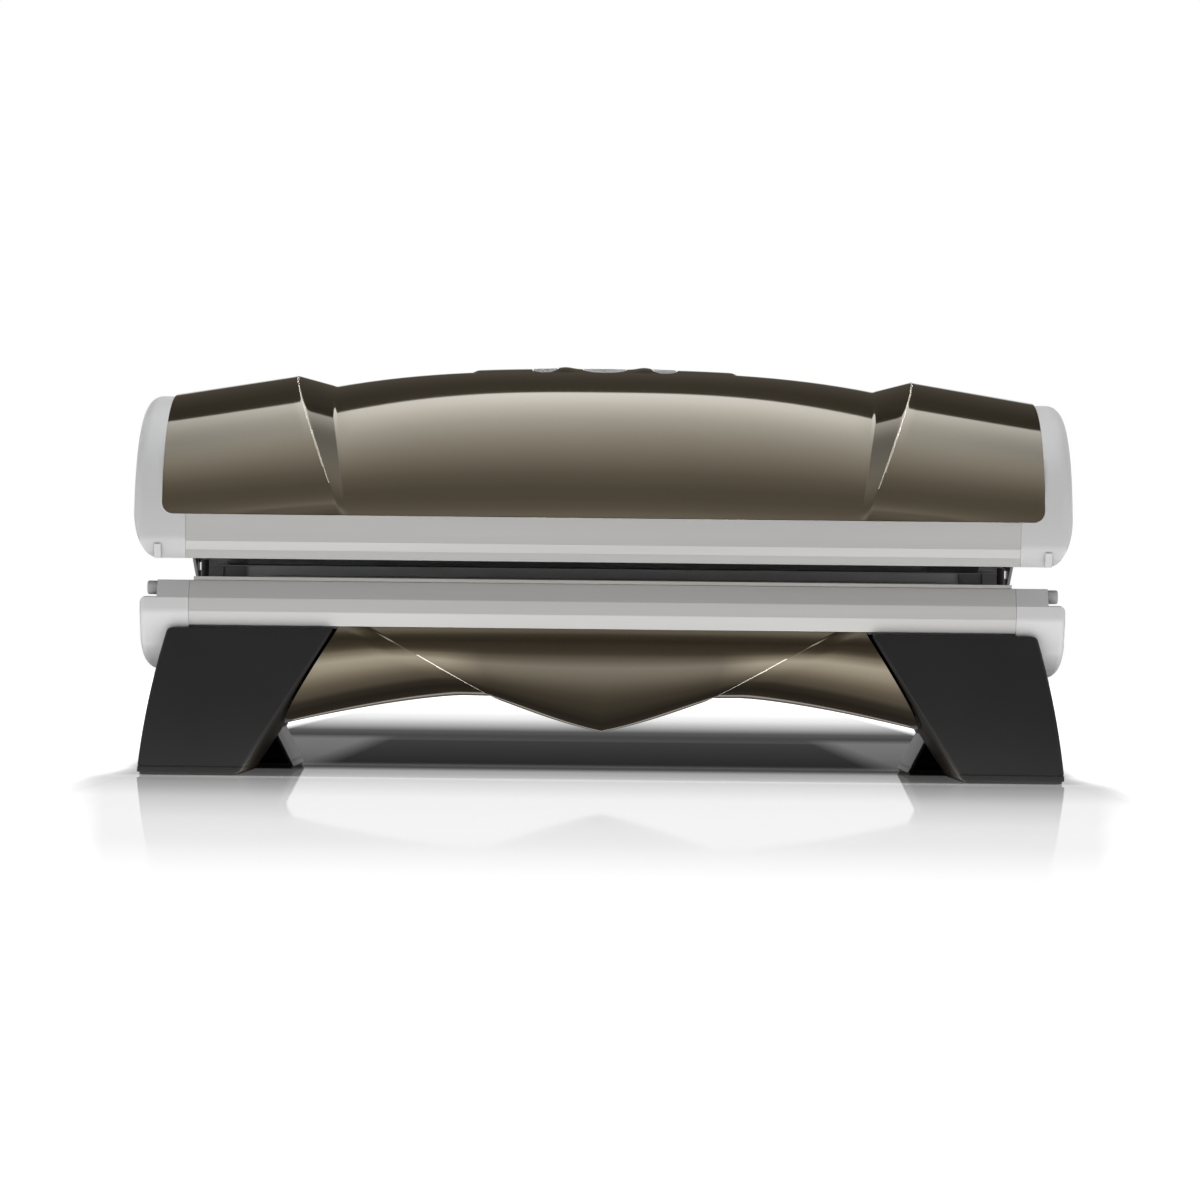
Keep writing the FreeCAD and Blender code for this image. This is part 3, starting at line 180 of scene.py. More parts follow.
def thicken(piece, thickness):
    wall = piece.modifiers.new("wall", "SOLIDIFY")
    wall.thickness = thickness
    wall.offset = -1
    wall.use_even_offset = True
    settle(piece)


def carve(piece, cutter, operation="DIFFERENCE"):
    """Cut the piece by another mesh, which is then thrown away."""
    cut = piece.modifiers.new("cut", "BOOLEAN")
    cut.operation = operation
    cut.solver = "EXACT"
    cut.object = cutter
    settle(piece)
    bpy.data.objects.remove(cutter)


def soften(piece, width, segments=3, angle=40):
    """Round the piece's hard edges; the modifier stays live."""
    rounding = piece.modifiers.new("rounding", "BEVEL")
    rounding.width = width
    rounding.segments = segments
    rounding.limit_method = "ANGLE"
    rounding.angle_limit = math.radians(angle)
    rounding.harden_normals = True
    return piece


def place(piece, body, slot, *nodes):
    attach(piece, body)
    if nodes:
        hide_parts(*nodes)


def prism(name, outline, axis, low, high, material):
    """Straight bar from a closed outline. Along x the outline is (y, z), along y (x, z), along z (x, y)."""
    spot = {"x": lambda a, b: (low, a, b), "y": lambda a, b: (a, low, b), "z": lambda a, b: (a, b, low)}[axis]
    step = {"x": (high - low, 0, 0), "y": (0, high - low, 0), "z": (0, 0, high - low)}[axis]
    bm = bmesh.new()
    face = bm.faces.new([bm.verts.new(spot(a, b)) for a, b in outline])
    made = bmesh.ops.extrude_face_region(bm, geom=[face])["geom"]
    bmesh.ops.translate(bm, vec=step, verts=[v for v in made if isinstance(v, bmesh.types.BMVert)])
    return make_piece(name, bm, material)


def cut_out(piece, name, outline, axis, low, high):
    """Cut a straight bar out of the piece."""
    carve(piece, prism(name, outline, axis, low, high, piece.data.materials[0]))


def span(side, near, far):
    """Range along x on one side of the bed, given as on the right."""
    return (near, far) if side > 0 else (-far, -near)


def flat(row):
    return [(point.y, point.z) for point in row]


def rounded_outline(low, high, radius, count=8):
    """Rectangle between two corners with round corners, as points."""
    points = []
    for cx, cy, start in ((high[0] - radius, high[1] - radius, 0), (low[0] + radius, high[1] - radius, 90),
                          (low[0] + radius, low[1] + radius, 180), (high[0] - radius, low[1] + radius, 270)):
        for k in range(count + 1):
            angle = math.radians(start + 90 * k / count)
            points.append((cx + radius * math.cos(angle), cy + radius * math.sin(angle)))
    return points


def oval_row(low_x, top_x, half, rise, level, up, bulge=0.0, roundness=ROUNDNESS, count=88):
    """Half-oval row across the bed; it leans from low_x at its feet to top_x at its crown."""
    points = []
    for i in range(count + 1):
        angle = math.pi * i / count
        across, along = math.cos(angle), math.sin(angle)
        size = (abs(across) ** roundness + abs(along) ** roundness) ** (1 / roundness)
        lift = along / size if 0 < i < count else 0.0
        y = -half * across / size - bulge * math.sin(2 * angle)
        points.append(Vector((low_x + (top_x - low_x) * lift, y, level + up * rise * lift)))
    return points


def between(a, b, share):
    return [p + (q - p) * share for p, q in zip(a, b)]


# ---- materials ---------------------------------------------------------------------------------

def new_group(name, inputs, outputs):
    """Shader group with number sockets, its inputs given with their defaults."""
    group = bpy.data.node_groups.new(name, "ShaderNodeTree")
    for label, value in inputs.items():
        socket = group.interface.new_socket(label, in_out="INPUT", socket_type="NodeSocketFloat")
        socket.default_value = value
    for label in outputs:
        group.interface.new_socket(label, in_out="OUTPUT", socket_type="NodeSocketFloat")
    return group, group.nodes.new("NodeGroupInput"), group.nodes.new("NodeGroupOutput")


def link(tree, a, b):
    tree.links.new(a, b)


def set_inputs(node, values):
    """Set input sockets by their labels, with underscores for the spaces."""
    for label, value in values.items():
        node.inputs[label.replace("_", " ")].default_value = value
    return node


def new_node(tree, kind, **values):
    return set_inputs(tree.nodes.new(kind), values)


def feed(tree, value, socket):
    """Set a socket to a number, or link it to another node's output."""
    if isinstance(value, (int, float)):
        socket.default_value = value
    else:
        link(tree, value, socket)


def math_node(tree, operation, *values):
    node = tree.nodes.new("ShaderNodeMath")
    node.operation = operation
    for socket, value in zip(node.inputs, values):
        feed(tree, value, socket)
    return node.outputs[0]


def times(tree, a, b):
    return math_node(tree, "MULTIPLY", a, b)


def plus(tree, a, b):
    return math_node(tree, "ADD", a, b)


def minus(tree, a, b):
    return math_node(tree, "SUBTRACT", a, b)


def noise_node(tree, vector, scale, detail=3.0, roughness=0.5):
    node = new_node(tree, "ShaderNodeTexNoise", Detail=detail, Roughness=roughness)
    feed(tree, scale, node.inputs["Scale"])
    link(tree, vector, node.inputs["Vector"])
    return node.outputs["Fac"]


def stretched_object_coords(tree, stretch):
    coords = tree.nodes.new("ShaderNodeTexCoord")
    mapping = new_node(tree, "ShaderNodeMapping", Scale=stretch)
    link(tree, coords.outputs["Object"], mapping.inputs["Vector"])
    return mapping.outputs["Vector"]


def grain_group():
    """Moulded grain: a fine height with broad slow patches."""
    group, given, result = new_group("moulded_grain", {"Scale": 900.0, "Patch": 0.2}, ("Height", "Patches"))
    vector = stretched_object_coords(group, (1, 1, 1))
    fine = noise_node(group, vector, given.outputs["Scale"], 2.0, 0.6)
    broad = noise_node(group, vector, 3.5, 3.0, 0.55)
    link(group, fine, result.inputs["Height"])
    link(group, times(group, minus(group, broad, 0.5), given.outputs["Patch"]), result.inputs["Patches"])
    return group


def brushed_group():
    """Drawn lines along the bed: a height and a mask that vary across the lines."""
    group, given, result = new_group("drawn_lines", {"Fineness": 1.0}, ("Height", "Streaks"))
    vector = stretched_object_coords(group, (6, 700, 700))
    lines = noise_node(group, vector, given.outputs["Fineness"], 4.0, 0.65)
    slow = noise_node(group, stretched_object_coords(group, (1.2, 25, 25)), 1.0, 2.0, 0.5)
    link(group, lines, result.inputs["Height"])
    link(group, slow, result.inputs["Streaks"])
    return group


def dust_group():
    """Faint settled dust and handling marks, as a mask."""
    group, given, result = new_group("dust_marks", {"Amount": 0.3}, ("Mask",))
    vector = stretched_object_coords(group, (1, 1, 1))
    clouds = noise_node(group, vector, 6.0, 5.0, 0.62)
    specks = noise_node(group, vector, 240.0, 2.0, 0.5)
    both = times(group, clouds, specks)
    link(group, times(group, both, given.outputs["Amount"]), result.inputs["Mask"])
    return group


GRAIN, BRUSHED, DUST = grain_group(), brushed_group(), dust_group()


def use_group(tree, group, **values):
    node = tree.nodes.new("ShaderNodeGroup")
    node.node_tree = group
    return set_inputs(node, values)


def new_material(name, **settings):
    material = bpy.data.materials.new(name)
    material.use_nodes = True
    tree = material.node_tree
    return material, tree, set_inputs(tree.nodes["Principled BSDF"], settings)


def tint(tree, shader, dark, light, factor):
    """Base colour that moves between two colours by a factor around a half."""
    ramp = tree.nodes.new("ShaderNodeValToRGB")
    ramp.color_ramp.elements[0].color = (*dark, 1)
    ramp.color_ramp.elements[1].color = (*light, 1)
    link(tree, factor, ramp.inputs["Fac"])
    link(tree, ramp.outputs["Color"], shader.inputs["Base Color"])


def bump(tree, shader, height, distance, strength=0.5):
    node = new_node(tree, "ShaderNodeBump", Strength=strength, Distance=distance)
    link(tree, height, node.inputs["Height"])
    link(tree, node.outputs["Normal"], shader.inputs["Normal"])


def lacquer():
    """Bronze lacquer: metal flake under a clear coat with the faintest orange peel."""
    material, tree, shader = new_material("bronze_lacquer", Metallic=1.0, Coat_Weight=0.8,
                                          Coat_Roughness=0.02, Coat_IOR=1.5)
    vector = stretched_object_coords(tree, (1, 1, 1))
    flakes = new_node(tree, "ShaderNodeTexVoronoi", Scale=1400.0)
    link(tree, vector, flakes.inputs["Vector"])
    cell = tree.nodes.new("ShaderNodeSeparateColor")
    link(tree, flakes.outputs["Color"], cell.inputs["Color"])
    broad = noise_node(tree, vector, 2.2, 2.0, 0.5)
    mixed = plus(tree, times(tree, cell.outputs[0], 0.45), times(tree, broad, 0.55))
    tint(tree, shader, (0.222, 0.197, 0.148), (0.285, 0.256, 0.200), mixed)
    dust = use_group(tree, DUST, Amount=0.06)
    rough = plus(tree, 0.055, dust.outputs["Mask"])
    link(tree, plus(tree, rough, times(tree, cell.outputs[1], 0.03)), shader.inputs["Roughness"])
    bump(tree, shader, noise_node(tree, vector, 120.0, 1.0, 0.4), 0.00004, 0.12)
    return material


def satin_aluminium():
    material, tree, shader = new_material("satin_aluminium", Metallic=0.25, Anisotropic=0.3)
    lines = use_group(tree, BRUSHED, Fineness=1.0)
    tint(tree, shader, (0.250, 0.250, 0.246), (0.288, 0.288, 0.283), lines.outputs["Streaks"])
    rough = plus(tree, 0.34, times(tree, lines.outputs["Height"], 0.12))
    link(tree, rough, shader.inputs["Roughness"])
    bump(tree, shader, lines.outputs["Height"], 0.00003, 0.25)
    return material


def moulded(name, dark, light, roughness, grain=900.0, patch=0.9, depth=0.00005, dust=0.15, strength=0.3,
            **settings):
    """Moulded plastic with a fine grain, slow tone patches and a little dust."""
    material, tree, shader = new_material(name, **settings)
    skin = use_group(tree, GRAIN, Scale=grain, Patch=patch)
    tint(tree, shader, dark, light, plus(tree, skin.outputs["Patches"], 0.5))
    marks = use_group(tree, DUST, Amount=dust)
    link(tree, plus(tree, roughness, marks.outputs["Mask"]), shader.inputs["Roughness"])
    bump(tree, shader, skin.outputs["Height"], depth, strength)
    return material


def metal(name, dark, light, roughness, fineness=1.0):
    material, tree, shader = new_material(name, Metallic=0.9)
    lines = use_group(tree, BRUSHED, Fineness=fineness)
    tint(tree, shader, dark, light, lines.outputs["Streaks"])
    rough = plus(tree, roughness, times(tree, lines.outputs["Height"], 0.1))
    link(tree, rough, shader.inputs["Roughness"])
    bump(tree, shader, lines.outputs["Height"], 0.00004, 0.3)
    return material


def clear_acrylic():
    material, tree, shader = new_material("clear_acrylic", Transmission_Weight=0.97, IOR=1.49,
                                          Specular_IOR_Level=0.5)
    marks = use_group(tree, DUST, Amount=0.25)
    link(tree, plus(tree, 0.012, times(tree, marks.outputs["Mask"], 0.4)), shader.inputs["Roughness"])
    tint(tree, shader, (0.93, 0.965, 0.975), (0.97, 0.985, 0.99), marks.outputs["Mask"])
    return material


BRONZE = lacquer()
# painted highlights: lighter, less metallic lacquer laid on the faces along the belly's keel creases and the
# canopy's ridges
KEEL_CREASE_HIGHLIGHT_PAINT = moulded("keel_crease_painted_highlight", (0.56, 0.52, 0.45), (0.68, 0.63, 0.56), 0.22, grain=1400.0, Metallic=0.5)
RIDGE_HIGHLIGHT_PAINT = moulded("ridge_painted_highlight", (0.31, 0.29, 0.25), (0.39, 0.365, 0.315), 0.22, grain=1400.0, Metallic=0.5)
RAIL = satin_aluminium()
CAP = moulded("light_grey_cap", (0.235, 0.235, 0.237), (0.265, 0.265, 0.267), 0.38, grain=1400.0, depth=0.00003)
LEG = moulded("charcoal_leg", (0.0050, 0.0050, 0.0053), (0.0088, 0.0088, 0.0094), 0.44, grain=700.0,
              depth=0.00008, strength=0.45, Specular_IOR_Level=0.24)
RUBBER = moulded("foot_rubber", (0.010, 0.010, 0.010), (0.02, 0.02, 0.02), 0.75)
DARK = moulded("dark_grey_panel", (0.040, 0.040, 0.042), (0.060, 0.060, 0.062), 0.45)
LEDGE = moulded("grey_ledge", (0.36, 0.36, 0.35), (0.41, 0.41, 0.40), 0.4)
COVER = moulded("dark_hinge_cover", (0.10, 0.10, 0.10), (0.14, 0.14, 0.14), 0.5)
SEAL = moulded("grey_edge_seal", (0.17, 0.165, 0.155), (0.21, 0.205, 0.195), 0.5)
INSIDE = moulded("grey_inner_panel", (0.34, 0.34, 0.345), (0.40, 0.40, 0.405), 0.5)
BLACK = moulded("gloss_black_moulding", (0.008, 0.008, 0.009), (0.016, 0.016, 0.017), 0.22, dust=0.3)
WHITE = moulded("white_moulding", (0.66, 0.66, 0.64), (0.74, 0.74, 0.72), 0.35)
BUTTON = moulded("button_face", (0.45, 0.46, 0.47), (0.52, 0.53, 0.54), 0.4)
BOARD = moulded("circuit_board", (0.015, 0.09, 0.035), (0.03, 0.14, 0.06), 0.4)
LAMP = moulded("phosphor_tube", (0.72, 0.73, 0.78), (0.80, 0.81, 0.86), 0.12, dust=0.1)
STEEL = metal("zinc_plated_steel", (0.42, 0.42, 0.43), (0.58, 0.58, 0.59), 0.28, 3.0)
FRAME = moulded("grey_powder_coat", (0.17, 0.17, 0.175), (0.22, 0.22, 0.225), 0.5, grain=1800.0, depth=0.0001)
REFLECTOR = metal("bright_rolled_aluminium", (0.72, 0.72, 0.73), (0.84, 0.84, 0.85), 0.12)
SILVER = moulded("silver_lacquer", (0.60, 0.61, 0.62), (0.70, 0.71, 0.72), 0.3, Metallic=0.4)
ACRYLIC = clear_acrylic()

SLOT_MATERIALS = {"bronze_shell": BRONZE, "rail_aluminium": RAIL, "grey_cap": CAP, "charcoal_leg": LEG,
                  "foot_rubber": RUBBER, "clear_acrylic": ACRYLIC, "reflector": REFLECTOR, "lamp_glass": LAMP,
                  "holder_plastic": WHITE, "steel_frame": FRAME, "steel_pin": STEEL, "black_metal": BLACK,
                  "fan_plastic": BLACK, "dark_panel": DARK, "silver_grille": SILVER, "button_face": BUTTON,
                  "circuit_board": BOARD}


def dress_frame():
    """Every node of the frame takes its slot's finish."""
    slots = {part["node"]: part["material_slot"] for part in frame["record"]["subparts"]}
    for node, piece in frame["nodes"].items():
        material = {"gap_back_panel": INSIDE, "hinge_covers": COVER}.get(node, SLOT_MATERIALS[slots[node]])
        for holder in piece.material_slots:
            holder.material = material


# ---- canopy ------------------------------------------------------------------------------------

def crown(x):
    return CROWN_TOP - CROWN_DROP * (abs(x) / VALLEY_TOP_X) ** CROWN_POWER


def canopy_row(low_x, top_x, top, bulge=0.0):
    return oval_row(low_x, top_x, SHELL_HALF, top - SHELL_BOTTOM, SHELL_BOTTOM, 1, bulge)


def canopy_rows():
    """Rows from the left end to the right one, close together beside the creases."""
    def half(s):
        end = canopy_row(s * SHELL_END_X, s * SHELL_END_X, END_TOP)
        ridge = canopy_row(s * RIDGE_LOW_X, s * RIDGE_TOP_X, RIDGE_TOP, RIDGE_BULGE)
        valley = canopy_row(s * VALLEY_LOW_X, s * VALLEY_TOP_X, crown(VALLEY_TOP_X))
        rows = [between(end, ridge, k / 14) for k in range(14)]
        outside, inside = between(end, ridge, 0.982), between(ridge, valley, 0.075)
        rows += [between(between(outside, ridge, k / 6), between(ridge, inside, k / 6), k / 6) for k in range(7)]
        rows += [between(ridge, valley, share) for share in (0.2, 0.4, 0.6, 0.8, 0.93)] + [valley]
        for share in (0.008, 0.03, *[k / 16 for k in range(1, 16)]):
            top_x = VALLEY_TOP_X * (1 - share)
            rows.append(canopy_row(s * VALLEY_LOW_X * (1 - share), s * top_x, crown(top_x)))
        return rows

    return half(-1) + [canopy_row(0, 0, CROWN_TOP)] + half(1)[::-1]


def crown_height(x, y):
    lift = (1 - (abs(y) / SHELL_HALF) ** ROUNDNESS) ** (1 / ROUNDNESS)
    return SHELL_BOTTOM + (crown(x) - SHELL_BOTTOM) * lift


def vent_cutter(x, half, grow=0.0):
    """Eye-shaped plug down through a vent."""
    bm = bmesh.new()
    made = bmesh.ops.create_circle(bm, cap_ends=True, segments=48, radius=1.0)
    bmesh.ops.scale(bm, vec=(half + grow, VENT_HALF_WIDTH + grow, 1), verts=made["verts"])
    bmesh.ops.translate(bm, vec=(x, VENT_Y, CROWN_TOP - PLUG_DEPTH), verts=made["verts"])
    top = bmesh.ops.extrude_face_region(bm, geom=bm.faces[:])["geom"]
    bmesh.ops.translate(bm, vec=(0, 0, PLUG_HEIGHT), verts=[v for v in top if isinstance(v, bmesh.types.BMVert)])
    return make_piece("vent_cutter", bm, BRONZE)


def paint_crease_highlight(piece, on_crease, finish):
    """Paint a highlight on the faces along a crease: they take a lighter second material."""
    piece.data.materials.append(finish)
    for polygon in piece.data.polygons:
        if on_crease(polygon.center):
            polygon.material_index = 1


def on_ridge(spot):
    lift = (spot.z - SHELL_BOTTOM) / (RIDGE_TOP - SHELL_BOTTOM)
    from_crease = abs(spot.x) - RIDGE_LOW_X - (RIDGE_TOP_X - RIDGE_LOW_X) * lift
    return lift > RIDGE_FROM and abs(from_crease) < RIDGE_LINE


def canopy_shell():
    bm = bmesh.new()
    skin_rows(bm, canopy_rows(), closed=False)
    shell = make_piece("lacquered_canopy_shell", bm, BRONZE, sharp=60)
    # a painted highlight line along each ridge crease
    paint_crease_highlight(shell, on_ridge, RIDGE_HIGHLIGHT_PAINT)
    thicken(shell, MOULDING)
    end = SHELL_END_X
    outline = rounded_outline((-end, SHELL_BOTTOM + SEAM), (end, CROWN_TOP + 0.2), SHELL_CORNER)
    carve(shell, prism("corner_cutter", outline, "y", *ACROSS, BRONZE), "INTERSECT")
    for x, half in VENTS:
        carve(shell, vent_cutter(x, half, VENT_GAP))
    shade(shell, 50)
    place(shell, "canopy", "bronze_shell", "canopy_shell")


def cowl_rise(x, y):
    """Height of the cowl above the shell: a pad with soft edges and a rib each side of the middle vent."""
    over_x = max(abs(x) - (COWL_HALF_LENGTH - COWL_CORNER), 0.0)
    over_y = max(abs(y) - (COWL_HALF_WIDTH - COWL_CORNER), 0.0)
    inside = COWL_CORNER - math.hypot(over_x, over_y)
    if inside < 0:
        return inside * COWL_FALL
    share = min(inside / COWL_EDGE, 1.0)
    pad = COWL_HEIGHT * share * share * (3 - 2 * share)
    pad *= 2 * min(max((y - VENT_Y + VENT_HALF_WIDTH) / (2 * VENT_HALF_WIDTH), 0.0), 1.0) if y < 0 else 2.0
    rib = COWL_RIB * math.exp(-((abs(x) - COWL_RIB_X) / COWL_RIB_WIDE) ** 2)
    reach = math.exp(-(max(abs(y - VENT_Y / 2) - 0.11, 0.0) / 0.03) ** 2)
    return pad + rib * reach * share


def vent_cowl():
    bm = bmesh.new()
    bmesh.ops.create_grid(bm, x_segments=150, y_segments=108, size=1.0)
    bmesh.ops.scale(bm, vec=(COWL_HALF_LENGTH + COWL_MARGIN, COWL_HALF_WIDTH + COWL_MARGIN, 1), verts=bm.verts)
    for vert in bm.verts:
        x, y = vert.co.x, vert.co.y
        vert.co.z = crown_height(x, y) + cowl_rise(x, y) - 0.0004
    outside = [v for v in bm.verts if cowl_rise(v.co.x, v.co.y) < -COWL_SINK]
    bmesh.ops.delete(bm, geom=outside, context="VERTS")
    cowl = make_piece("raised_vent_cowl", bm, BRONZE, sharp=60)
    thicken(cowl, COWL_SKIN)
    for x, half in VENTS:
        carve(cowl, vent_cutter(x, half))
    shade(cowl, 50)
    place(cowl, "canopy", "bronze_shell", "vent_cowl")


def vent_liners():
    """Silver liner down each vent's wall, closed by louvres at its foot."""
    foot, bar_half, pitch = CROWN_TOP - 0.028, 0.0014, 0.0135
    bm = bmesh.new()
    for x, half in VENTS:
        rows = []
        for inset, height in ((0.0025, None), (0.0008, None), (0.0006, foot), (0.0030, foot), (0.0032, None)):
            row = []
            for k in range(48):
                angle = math.tau * k / 48
                px = x + (half - inset) * math.cos(angle)
                py = VENT_Y + (VENT_HALF_WIDTH - inset) * math.sin(angle)
                row.append(Vector((px, py, height or crown_height(px, py) + cowl_rise(px, py) - 0.001)))
            rows.append(row)
        skin_rows(bm, rows, closed=True)
        count = int(2 * VENT_HALF_WIDTH / pitch)
        for k in range(count):
            y = VENT_Y + (k - (count - 1) / 2) * pitch
            reach = half * math.sqrt(max(1 - ((y - VENT_Y) / VENT_HALF_WIDTH) ** 2, 0.0)) - 0.001
            made = bmesh.ops.create_cube(bm, size=1.0)["verts"]
            bmesh.ops.scale(bm, vec=(2 * reach, 2 * bar_half, 0.010), verts=made)
            bmesh.ops.translate(bm, vec=(x, y, foot + 0.005), verts=made)
    liners = make_piece("silver_vent_louvres", bm, SILVER)
    place(liners, "canopy", "silver_grille", "vent_grilles")


def cap_row(x, inset, top, level, up, foot_half, foot_level, roundness=ROUNDNESS):
    """Closed row round an end cap's section at x, drawn in by inset."""
    arc = oval_row(x, x, HALF_DEPTH - inset, abs(top - level) - inset, level, up, 0.0, roundness)
    foot = foot_level + up * inset
    corners = [(foot_half - inset, foot), (0, foot), (inset - foot_half, foot)]
    if up > 0:
        bevel = (foot_half + 0.002 - inset, (foot + level) / 2)
        corners = [bevel, *corners, (-bevel[0], bevel[1])]
    return arc + [Vector((x, y, z)) for y, z in corners]


def quarter_steps(radius, count=9):
    """Insets and run-outs of a quarter round."""
    angles = [math.pi / 2 * k / count for k in range(count + 1)]
    return [(radius * (1 - math.cos(a)), radius * math.sin(a)) for a in angles]


def end_cap_mesh(name, side, start, end, radius, row):
    """Cap along x from start to end, its far rim rounded, closed by flat faces."""
    bm = bmesh.new()
    rows = [row(side * start, 0.0), row(side * (end - radius), 0.0)]
    rows += [row(side * (end - radius + run), inset) for inset, run in quarter_steps(radius)[1:]]
    first, last = skin_rows(bm, rows, closed=True)
    bmesh.ops.contextual_create(bm, geom=last)
    bmesh.ops.contextual_create(bm, geom=first)
    return make_piece(name, bm, CAP, sharp=30)


def lower_corner(side):
    """Outline (x, z) of the space outside the canopy cap's long lower corner."""
    face, foot, past = CAP_HIGH.x, CAP_LOW.z, 0.1
    points = [(face - CAP_CORNER_RUN * (1 - run), foot + CAP_CORNER_RISE * rise)
              for rise, run in quarter_steps(1.0, 14)]
    points += [(face + past, foot + CAP_CORNER_RISE), (face + past, foot - past),
               (face - CAP_CORNER_RUN, foot - past)]
    return [(side * x, z) for x, z in points]


def canopy_end_caps():
    start, end, foot = CAP_LOW.x, CAP_HIGH.x, CAP_LOW.z
    below, ceiling, inner_front, inner_rear = foot - 0.010, foot + 0.034, 0.050 - HALF_DEPTH, HALF_DEPTH - 0.022
    under = [(inner_front, below), (inner_front + 0.005, foot + 0.020), (inner_front + 0.025, foot + 0.030),
             (inner_rear, ceiling), (inner_rear, below)]
    behind = [(HALF_DEPTH - 0.030, below), (HALF_DEPTH - 0.030, ceiling), (HALF_DEPTH + 0.010, ceiling),
              (HALF_DEPTH + 0.010, below)]

    def row(x, inset):
        return cap_row(x, inset, CAP_HIGH.z, CANOPY_RAIL_LOW.z + CANOPY_FACET, 1,
                       HALF_DEPTH - CANOPY_FACET_RUN, foot)

    for side, word in SIDES:
        cap = end_cap_mesh(f"moulded_canopy_cap_{word}", side, start, end, 0.030, row)
        shell_end = SHELL_END_X + SEAM
        outline = rounded_outline((-shell_end, SHELL_BOTTOM - 0.0002), (shell_end, CROWN_TOP + 0.2),
                                  SHELL_CORNER + SEAM)
        cut_out(cap, "shell_room", outline, "y", *ACROSS)
        for wall, near, far in ((CAP_WALL, start - 0.02, end - 0.027), (0.018, end - 0.03, end - 0.008)):
            cut_out(cap, "inside", flat(row(0, wall)), "x", *span(side, near, far))
        cut_out(cap, "open_underside", under, "x", *span(side, start - 0.02, PAST_X))
        cut_out(cap, "open_rear", behind, "x", *span(side, HINGE_WALL_X, PAST_X))
        cut_out(cap, "corner_room", lower_corner(side), "y", *ACROSS)
        soften(cap, 0.0016, 2, 35)
        place(cap, "canopy", "grey_cap", f"canopy_end_cap_{word}")


def rails():
    front, back = -HALF_DEPTH, -HALF_DEPTH + 0.030
    low, high = RAIL_LOW.z, RAIL_HIGH.z
    base = [(back, high), (back + 0.015, high), (back + 0.015, low), (front + 0.016, low),
            (front, low + FACET_LOW), (front, low + FACET_HIGH)]
    low, high = CANOPY_RAIL_LOW.z, CANOPY_RAIL_HIGH.z
    canopy = [(front + CANOPY_FACET_RUN, low), (back + 0.025, low), (back + 0.025, low + 0.002),
              (back, low + 0.002), (back, high), (front, high), (front, low + CANOPY_FACET),
              (front + 0.012, low + 0.020)]
    for word, turn in (("front", 1), ("rear", -1)):
        for body, outline, half in (("base", base, RAIL_HIGH.x), ("canopy", canopy, CANOPY_RAIL_HIGH.x)):
            turned = [(turn * y, z) for y, z in outline]
            rail = prism(f"satin_{body}_{word}_rail", turned, "x", -half, half, RAIL)
            place(soften(rail, 0.0014, 3, 12), body, "rail_aluminium", f"{body}_{word}_rail")


# ---- base --------------------------------------------------------------------------------------

def base_end_caps():
    face_high = RAIL_LOW.z + FACET_HIGH
    start, end = BASE_CAP_LOW.x, BASE_CAP_HIGH.x
    shoulder_end, shoulder_z, corner = BOSS_HIGH.x - BOSS_LENGTH, 0.425, 0.017

    def row(x, inset):
        points = cap_row(x, inset, BASE_CAP_LOW.z, face_high, -1, HALF_DEPTH - 0.030, BASE_CAP_HIGH.z,
                         BASE_CAP_ROUNDNESS)
        for point in points:
            reach = HALF_DEPTH - inset - max(RAIL_LOW.z + FACET_LOW - point.z, 0.0) * 0.5
            point.y = min(max(point.y, -reach), reach)
        return points

    for side, word in SIDES:
        cap = end_cap_mesh(f"moulded_base_cap_{word}", side, start, end, 0.016, row)
        step = [(side * (end - corner + run), shoulder_z - inset) for inset, run in quarter_steps(corner)]
        step += [(side * PAST_X, shoulder_z - corner), (side * PAST_X, PAST_Z), (side * shoulder_end, PAST_Z),
                 (side * shoulder_end, shoulder_z)]
        cut_out(cap, "shoulder_room", step, "y", *ACROSS)
        cut_out(cap, "inside", flat(row(0, CAP_WALL)), "x", *span(side, start - 0.02, shoulder_end - CAP_WALL))
        slot = [(side * x, y) for x, y in rounded_outline(*HINGE_SLOT, 0.004)]
        cut_out(cap, "hinge_slot", slot, "z", BASE_CAP_HIGH.z - 0.040, BASE_CAP_HIGH.z + 0.005)
        soften(cap, 0.003, 3, 30)
        place(cap, "base", "grey_cap", f"base_end_cap_{word}")


def cap_bosses():
    """Round covers over the base caps' fixings, dished in the middle."""
    x0, x1 = BOSS_HIGH.x - BOSS_LENGTH, BOSS_HIGH.x
    y, z = (BOSS_LOW.y + BOSS_HIGH.y) / 2, (BOSS_LOW.z + BOSS_HIGH.z) / 2
    radius = (BOSS_HIGH.z - BOSS_LOW.z) / 2
    profile = [(x0, radius), (x1 - 0.004, radius), (x1 - 0.0012, radius - 0.0012), (x1, radius - 0.004),
               (x1, radius - 0.006), (x1 - 0.0015, radius - 0.008), (x1 - 0.0022, 0.0)]
    bm = bmesh.new()
    for side in (-1, 1):
        verts = [bm.verts.new((side * px, y + pr, z)) for px, pr in profile]
        edges = [bm.edges.new(pair) for pair in zip(verts, verts[1:])]
        bmesh.ops.spin(bm, geom=verts + edges, cent=(0, y, z), axis=(1, 0, 0), angle=math.tau, steps=40,
                       use_merge=True, dvec=(0, 0, 0))
    bosses = make_piece("round_cap_bosses", bm, CAP, sharp=30)
    place(bosses, "base", "grey_cap", "base_cap_bosses")


